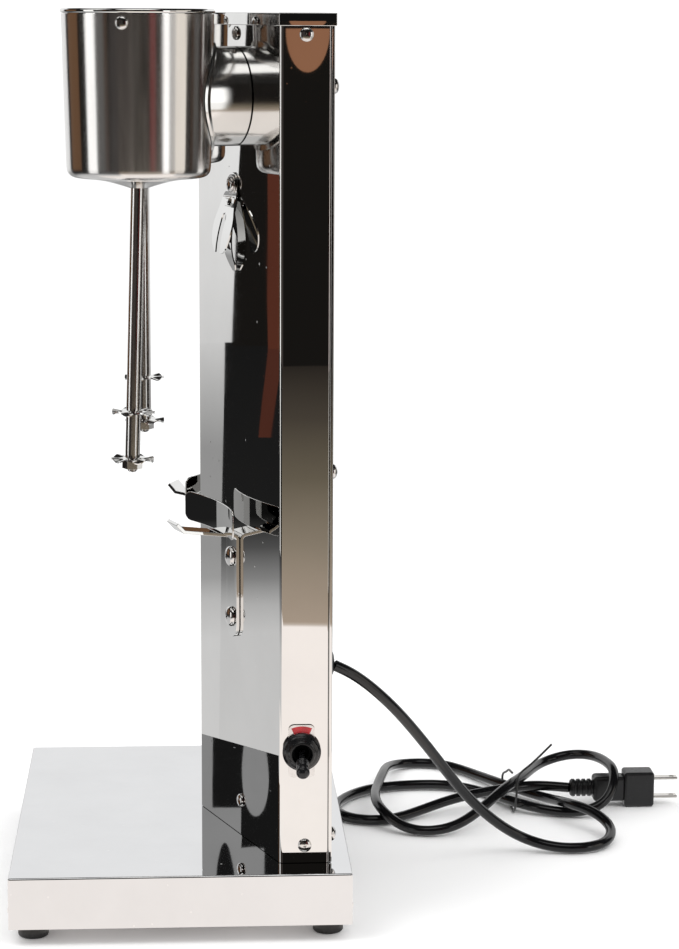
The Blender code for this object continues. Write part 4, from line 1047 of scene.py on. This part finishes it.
# The lead leaves the gland, drops to the floor and lies in two loops, tied near their crossing
CORD_ROUTE = (
    (70, 90.3, 146), (68, 99.6, 140.9), (58, 119.2, 123.6), (40, 139.2, 98.6), (20, 158, 71.2),
    (2, 176.2, 45.2), (-12, 195.2, 24.4), (-21.3, 215.3, 9.5), (-18, 236.6, 4), (-18, 258.2, 4),
    (-28.6, 270, 4.5), (-48, 274.6, 7.5), (-62.6, 267.2, 11.8), (-80.8, 254.4, 12.4),
    (-118.2, 241.8, 5.6), (-141.6, 224.4, 5.3), (-182.6, 200, 3.7), (-205.6, 177, 3.7),
    (-204.5, 153.6, 4.2), (-163, 137.8, 10.6), (-124, 130.4, 11.6), (-78, 130.5, 11.2),
    (-61.8, 143.3, 5), (-55.7, 158, 3.7), (-58.6, 176, 6), (-72.7, 195.2, 13), (-94.7, 213.4, 19.8),
    (-124, 230, 19.8), (-156.8, 248.4, 19), (-160, 263, 22), (-151, 277, 24.6), (-126, 286, 26),
    (-112.5, 287.3, 25), (-101, 285.6, 19.8), (-92.8, 278.8, 10.5), (-90, 263.5, 4.4),
    (-94, 244.5, 3.7),
    (-103.4, 226, 5.4), (-130, 209.6, 3.7), (-152.8, 184.4, 3.7), (-156.2, 156.8, 3.7),
    (-147.5, 128, 3.7), (-127.8, 109.3, 3.7), (-104.5, 102.5, 3.7), (-85.4, 110.7, 3.7),
    (-79.8, 130.7, 3.7), (-93.2, 154.2, 4.5), (-105, 179.3, 9), (-111.5, 199.7, 11.4),
    (-117.8, 217.2, 12.2), (-122.7, 236, 12.2), (-118, 258.7, 12),
)
# The twist tie's wire: its tail, once round the crossing strands, and its short end
TIE_ROUTE = (
    (-125, 247.6, 40), (-121, 239.5, 33.5), (-115, 231, 28), (-107, 224.5, 25.6), (-99, 221.5, 22),
    (-95.5, 220.6, 14), (-97, 220.2, 6), (-101, 220, 1.6), (-106, 219.8, 0.8), (-127, 219.6, 0.8),
    (-150, 219.4, 0.8), (-156.5, 219.2, 2.5), (-157.5, 219, 7), (-152, 218.8, 12),
    (-132, 218.4, 19.5), (-117, 218, 25.2), (-108, 217.8, 27.2), (-99, 218, 28.5),
)
CORD_DIAMETER = 6.5


def smooth_route(points, spacing):
    """Evenly spaced points on a natural cubic curve through the given points."""
    knots = np.array(points, dtype=float)
    count = len(knots)
    step = np.linalg.norm(np.diff(knots, axis=0), axis=1) ** 0.75
    system, right = np.zeros((count, count)), np.zeros((count, 3))
    system[0, 0] = system[-1, -1] = 1.0
    for i in range(1, count - 1):
        system[i, i - 1:i + 2] = step[i - 1], 2 * (step[i - 1] + step[i]), step[i]
        right[i] = 6 * ((knots[i + 1] - knots[i]) / step[i] - (knots[i] - knots[i - 1]) / step[i - 1])
    bend = np.linalg.solve(system, right)
    dense = []
    for i in range(count - 1):
        for t in np.linspace(0.0, 1.0, 20, endpoint=False):
            s = 1.0 - t
            dense.append(s * knots[i] + t * knots[i + 1]
                         + step[i] ** 2 / 6 * ((s ** 3 - s) * bend[i] + (t ** 3 - t) * bend[i + 1]))
    dense = np.array(dense + [knots[-1]])
    length = np.concatenate(([0.0], np.cumsum(np.linalg.norm(np.diff(dense, axis=0), axis=1))))
    places = np.linspace(0.0, length[-1], int(round(length[-1] / spacing)) + 1)
    return np.array([[np.interp(p, length, dense[:, k]) for k in range(3)] for p in places])


def tube(name, points, radius, resolution=5):
    """A round wire through points, as a curve with filled caps."""
    curve = bpy.data.curves.new(name, "CURVE")
    curve.dimensions = "3D"
    curve.bevel_depth = radius * MM
    curve.bevel_resolution = resolution
    curve.use_fill_caps = True
    spline = curve.splines.new("POLY")
    spline.points.add(len(points) - 1)
    for point, co in zip(spline.points, points):
        point.co = (*(Vector(co) * MM), 1.0)
    spline.use_smooth = True
    return new_object(name, curve)


# Stands a shape's own Z along +Y
REARWARD = Matrix(((1, 0, 0), (0, 0, 1), (0, -1, 0))).to_4x4()


def build_plug():
    low, high = node_box("plug_body")
    x, z = (low.x + high.x) / 2, (low.z + high.z) / 2
    start = low.y
    profile = [(0.0, 0.0), (3.7, 0.0), (4.9, 0.5)]
    for k in range(4):
        y = 1.2 + k * 3.6
        profile += [(5.6, y), (5.85, y + 0.35), (5.85, y + 1.9), (5.6, y + 2.25), (4.9, y + 2.5),
                    (4.8, y + 2.9), (4.9, y + 3.3)]
    profile += [(5.85, 15.9), (5.85, 18.5), (0.0, 18.5)]
    relief = lathe("relief", profile[::-1], 64)
    relief = moved(relief, Matrix.Translation(Vector((x, start, z)) * MM) @ REARWARD)
    grip = rounded_box("grip", (13.0, 21.6, 17.0), (x, start + 26.3, z), 2.6, 6)
    block = rounded_box("block", (16.0, 20.0, high.z - low.z), (x, high.y - 10.0, z), 2.0, 6)
    body = cut(cut(grip, relief, "UNION"), block, "UNION")
    body.name = "plug_body_look"
    body = show(bevelled(body, 0.35, 2, 50.0), "plug_rubber", nodes=["plug_body"])
    blades = []
    for level in ("upper", "lower"):
        blades.append(show_fine("plug_blade_" + level, "nickel", 0.2))
    return body, blades


def build_cord():
    """The strain relief, the lead, its twist tie and its plug."""
    profile = [(0.0, 3.5), (3.3, 3.5), (5.0, 3.2), (6.2, 2.8), (7.2, 2.2), (7.8, 1.5), (8.0, 0.9),
               (8.0, 0.3), (6.5, 0.3), (6.5, -11.0), (0.0, -11.0)]
    place = Matrix.Translation(Vector((GLAND.x, REAR_HIGH.y, GLAND.z)) * MM)
    gland = moved(lathe("cord_gland_look", profile, 64), place @ REARWARD)
    show(gland, "plug_rubber", nodes=["cord_gland"])

    lead = smooth_route(CORD_ROUTE, 3.0)
    cord = tube("mains_cord_look", lead, CORD_DIAMETER / 2)
    show(cord, "cord_rubber", nodes=["mains_cord"])
    tie = tube("cord_tie_look", smooth_route(TIE_ROUTE, 1.2), 0.75, 3)
    show(tie, "black_plastic", nodes=["cord_tie"])
    plug, blades = build_plug()


def build_wiring():
    """The inside leads: from the gland past each switch, up the column and into each motor."""
    start = Vector((GLAND.x, REAR_HIGH.y - 13.0, GLAND.z))
    for side, sign in SIDES:
        mouth = face_point(FACE_CENTRE, 0.0, NECK_Z)
        mouth.x *= sign
        inward = Vector((-OUT.x * sign, -OUT.y, 0.0))
        route = [start + Vector((2.5 * sign, 0, 0)), start + Vector((-6 + 2 * sign, -5, -8)),
                 Vector((sign * 60, 68, 122)), Vector((sign * 56, 66, 150)), Vector((sign * 57, 64, 250)),
                 Vector((sign * 55, 62, 360)), Vector((sign * 50, 58, 440)), mouth + inward * 14,
                 mouth, mouth - inward * 12, mouth - inward * 17]
        wire = applied(tube("inside_lead_" + side, smooth_route([tuple(p) for p in route], 5.0), 1.6, 3))
        show(welded(wire), "black_plastic")


# ---------------------------------------------------------------- stage, lights and camera

CAMERA_PLACE = (1.5424, 0.0018, 0.5238)
CAMERA_ANGLES = (10.17, 3.53, 0.28)    # degrees down, about the upright and about its own axis
CAMERA_LENS = 98.65
ROOM_LIGHT = 1.13
LAMP_SIZE = 1.8
RING = 2.5                     # metres from the part to the surroundings that its steel mirrors


def glow(name, stops, upright=False):
    """An even glow, or one that changes over (place, colour) stops, in metres out or up."""
    material = bpy.data.materials.new(name)
    material.use_nodes = True
    tree = material.node_tree
    tree.nodes.clear()
    shine = tree.nodes.new("ShaderNodeEmission")
    output = tree.nodes.new("ShaderNodeOutputMaterial")
    tree.links.new(shine.outputs[0], output.inputs[0])
    if isinstance(stops[0], float):
        shine.inputs["Color"].default_value = (*stops, 1.0)
        return material
    place = tree.nodes.new("ShaderNodeTexCoord").outputs["Object"]
    if upright:
        split = tree.nodes.new("ShaderNodeSeparateXYZ")
        tree.links.new(place, split.inputs[0])
        value = split.outputs["Z"]
    else:
        size = tree.nodes.new("ShaderNodeVectorMath")
        size.operation = "LENGTH"
        tree.links.new(place, size.inputs[0])
        value = size.outputs["Value"]
    share = tree.nodes.new("ShaderNodeMapRange")
    share.inputs["From Min"].default_value = stops[0][0]
    share.inputs["From Max"].default_value = stops[-1][0]
    tree.links.new(value, share.inputs["Value"])
    ramp = tree.nodes.new("ShaderNodeValToRGB")
    span = stops[-1][0] - stops[0][0]
    for i, (at, colour) in enumerate(stops):
        if i < 2:
            element = ramp.color_ramp.elements[i]
            element.position = (at - stops[0][0]) / span
        else:
            element = ramp.color_ramp.elements.new((at - stops[0][0]) / span)
        element.color = (*colour, 1.0)
    tree.links.new(share.outputs["Result"], ramp.inputs["Fac"])
    tree.links.new(ramp.outputs["Color"], shine.inputs["Color"])
    return material


def mirrored_only(obj, material):
    """A studio card that shows in reflections and nowhere else."""
    obj.data.materials.append(material)
    for ray in ("camera", "diffuse", "shadow", "transmission", "volume_scatter"):
        setattr(obj, "visible_" + ray, False)


def wall_card(name, start, end, low, high, colour, radius=RING, lean=0.0):
    """An upright card on a circle about the part, between two azimuths in degrees.

    Its starting edge leans by some degrees between its foot and its top.
    """
    bm = bmesh.new()
    steps = max(2, int(abs(end - start) / 2) + 1)
    columns = []
    for share in np.linspace(0.0, 1.0, steps):
        column = []
        for z, shift in ((low, 0.0), (high, lean)):
            angle = math.radians(start + shift + (end - start - shift) * share)
            column.append(bm.verts.new((radius * math.cos(angle), radius * math.sin(angle), z)))
        columns.append(column)
    for a, b in zip(columns, columns[1:]):
        bm.faces.new((a[0], b[0], b[1], a[1]))
    mirrored_only(from_bmesh(bm, name), glow(name, colour, upright=True))


def round_card(name, azimuth, z, spread, rise, colour, radius):
    """An upright oval card on the same circle, from its middle and its half sizes."""
    bm = bmesh.new()
    rim = []
    for turn in np.linspace(0.0, 2 * math.pi, 40, endpoint=False):
        angle = math.radians(azimuth + spread * math.cos(turn))
        rim.append(bm.verts.new((radius * math.cos(angle), radius * math.sin(angle),
                                 z + rise * math.sin(turn))))
    bm.faces.new(rim)
    mirrored_only(from_bmesh(bm, name), glow(name, colour, upright=True))


def flat_card(name, start, end, inner, outer, colour, height=0.001):
    """A level card between two azimuths and two distances from the part."""
    bm = bmesh.new()
    columns = []
    for angle in np.radians(np.linspace(start, end, max(2, int(abs(end - start) / 3) + 1))):
        columns.append([bm.verts.new((r * math.cos(angle), r * math.sin(angle), height))
                        for r in (inner, outer)])
    for a, b in zip(columns, columns[1:]):
        bm.faces.new((a[0], b[0], b[1], a[1]))
    mirrored_only(from_bmesh(bm, name), glow(name, colour))


def grey(value):
    return (value, value, value)


WHITE = (1.5, 1.49, 1.47)
BACKDROP = ((0.0, grey(0.72)), (0.11, grey(0.81)), (0.23, grey(0.88)), (0.6, grey(0.95)), (1.7, grey(1.0)))
PALE_FLOOR = ((0.16, grey(0.72)), (0.58, grey(0.72)), (0.73, grey(0.59)), (0.82, grey(0.40)),
              (0.95, grey(0.35)), (1.55, grey(0.35)), (1.94, grey(0.49)), (2.35, grey(0.64)),
              (2.6, grey(0.72)))
DARK_FLOOR = ((0.16, grey(0.68)), (0.60, grey(0.66)), (0.70, grey(0.52)), (0.81, grey(0.26)),
              (0.95, grey(0.09)), (1.1, grey(0.014)), (2.6, grey(0.010)))
# The floor as the steel mirrors it: a painted contact shadow just off the base, then pale paper, then a
# brown wood floor that fades to dark far off
WOOD_FLOOR_WITH_PAINTED_SHADOW = ((0.15, grey(0.40)), (0.17, (1.12, 1.04, 0.99)), (0.86, (1.12, 1.04, 0.99)),
              (0.87, (0.47, 0.38, 0.30)), (1.20, (0.30, 0.25, 0.19)), (1.58, (0.155, 0.13, 0.093)),
              (2.0, (0.07, 0.058, 0.045)), (2.6, (0.018, 0.015, 0.013)))


def build_surroundings():
    """A dark room with a pale backdrop behind the part, soft boxes, and brown and beige things."""
    near = RING - 0.05
    wall_card("backdrop", 121.0, 228.0, 0.0, 1.7, BACKDROP, RING + 0.04)
    flat_card("backdrop_floor", 121.0, 228.0, 0.16, 2.55, PALE_FLOOR)
    wall_card("dark_room", -136.15, 121.0, 0.0, 1.7, (0.010, 0.009, 0.008), lean=2.0)
    flat_card("dark_floor_left", -136.4, -30.0, 0.16, 2.6, DARK_FLOOR, 0.002)
    flat_card("dark_floor_right", 60.0, 121.0, 0.16, 2.6, DARK_FLOOR)
    # Its inner edge is a painted contact shadow next to the base
    flat_card("wood_floor_with_painted_shadow", -30.0, 60.0, 0.15, 2.6, WOOD_FLOOR_WITH_PAINTED_SHADOW)
    flat_card("near_paper", -80.0, 80.0, 0.10, 0.45, (1.12, 1.05, 1.0), 0.003)
    flat_card("ceiling", -180.0, 180.0, 0.0, 2.6, (0.020, 0.019, 0.018), 1.7)
    flat_card("ceiling_box_left", -120.0, -70.0, 0.5, 1.3, WHITE, 1.65)
    flat_card("ceiling_box_front", -40.0, 40.0, 0.25, 1.05, WHITE, 1.65)
    wall_card("grey_panel", -137.85, -134.15, 0.60, 1.3, grey(0.34), near)
    wall_card("black_cloth", -136.88, -133.95, 0.66, 0.81, grey(0.012), near - 0.02)
    wall_card("black_cloth_high", -135.79, -133.95, 0.80, 0.875, grey(0.012), near - 0.02)
    round_card("grey_dial", -135.25, 0.745, 0.5, 0.075, grey(0.34), near - 0.04)
    round_card("black_tripod", -136.37, 0.96, 0.42, 0.10, grey(0.012), near - 0.04)
    wall_card("black_case", -134.95, -133.45, 0.84, 1.1, grey(0.012), near - 0.04)
    wall_card("grey_room", -41.0, -6.0, 0.0, 1.4, (0.050, 0.043, 0.040), near)
    wall_card("brown_edge", -134.82, -134.25, 0.0, 0.5, (0.10, 0.030, 0.018), near)
    round_card("brown_hand", 4.35, 0.492, 0.72, 0.058, (0.31, 0.145, 0.08), near - 0.05)
    wall_card("dark_lintel", -5.0, 12.0, 0.4945, 0.75, grey(0.008), near - 0.10)
    for name, start, end, high, colour in (
            ("brown_wall", -127.0, -100.0, 1.4, (0.16, 0.085, 0.045)),
            ("soft_box_left", -84.0, -66.0, 1.3, WHITE),
            ("grey_left", -66.0, -51.0, 1.4, (0.13, 0.125, 0.12)),
            ("brown_post", -51.0, -45.0, 1.4, (0.07, 0.040, 0.024)),
            ("red_box", 18.0, 26.5, 1.2, (0.16, 0.024, 0.026)),
            ("soft_box_right", 37.5, 48.0, 1.3, (1.6, 1.58, 1.56)),
            ("grey_wall", 48.5, 58.0, 1.4, (0.62, 0.60, 0.58)),
            ("beige_wall", 58.0, 85.0, 1.4, (1.00, 0.93, 0.84))):
        wall_card(name, start, end, -0.05, high, colour, near)
    for name, start, end, inner, outer, colour in (
            ("brown_edge_floor", -134.82, -134.25, 1.6, 2.48, (0.08, 0.026, 0.017)),
            ("soft_box_left_foot", -84.0, -66.0, 1.0, 2.45, (1.2, 1.19, 1.17)),
            ("soft_box_right_foot", 37.5, 48.0, 1.0, 2.45, (1.2, 1.19, 1.17)),
            ("beige_floor", 58.0, 85.0, 1.0, 2.45, (0.80, 0.74, 0.67))):
        flat_card(name, start, end, inner, outer, colour, 0.004)


def build_floor():
    bm = bmesh.new()
    bmesh.ops.create_grid(bm, x_segments=1, y_segments=1, size=30.0)
    floor = from_bmesh(bm, "studio_floor")
    n = Nodes("studio_paper")
    pulp = n.ramp(n.noise(3.0), (0.3, 0.0), (0.7, 1.0))
    n.set(roughness=0.9, specular_ior_level=0.0, base_color=n.mix(pulp, grey(0.915), grey(0.905)))
    floor.data.materials.append(n.material)


def area_light(name, position, target, power):
    light = bpy.data.lights.new(name, "AREA")
    light.shape = "DISK"
    light.size = LAMP_SIZE
    light.energy = power
    lamp = new_object(name, light)
    lamp.location = position
    lamp.rotation_euler = (Vector(target) - Vector(position)).to_track_quat("-Z", "Y").to_euler()
    lamp.visible_glossy = False
    return lamp


def build_lights():
    world = bpy.data.worlds.new("studio")
    world.use_nodes = True
    background = world.node_tree.nodes["Background"]
    background.inputs["Color"].default_value = (1.0, 1.0, 1.0, 1.0)
    background.inputs["Strength"].default_value = ROOM_LIGHT
    bpy.context.scene.world = world
    area_light("key", (0.6, -1.6, 2.4), (0.0, 0.0, 0.1), 26.0)
    area_light("fill", (0.8, 1.8, 2.2), (0.0, 0.1, 0.1), 16.0)


def build_camera():
    """A long lens a metre and a half off the right-hand side, looking slightly down."""
    pitch, yaw, roll = (math.radians(a) for a in CAMERA_ANGLES)
    forward = Vector((-math.cos(pitch) * math.cos(yaw), math.cos(pitch) * math.sin(yaw), -math.sin(pitch)))
    level = Vector((math.sin(yaw), math.cos(yaw), 0.0))
    rise = level.cross(forward)
    right = level * math.cos(roll) + rise * math.sin(roll)
    up = rise * math.cos(roll) - level * math.sin(roll)
    camera = bpy.data.cameras.new("camera")
    camera.lens = CAMERA_LENS
    camera.sensor_width = 36.0
    camera.clip_end = 100.0
    obj = new_object("camera", camera)
    turn = Matrix((right, up, -forward)).transposed().to_4x4()
    obj.matrix_world = Matrix.Translation(CAMERA_PLACE) @ turn
    bpy.context.scene.camera = obj
    bpy.context.scene.view_settings.view_transform = "Standard"


# ---------------------------------------------------------------- build

build_camera()
build_cord()
build_base()
build_column()
build_head()
build_neck()
build_motors()
build_spindles()
build_clip()
build_bracket()
build_switches()
build_fasteners()
build_wiring()
build_surroundings()
build_floor()
build_lights()
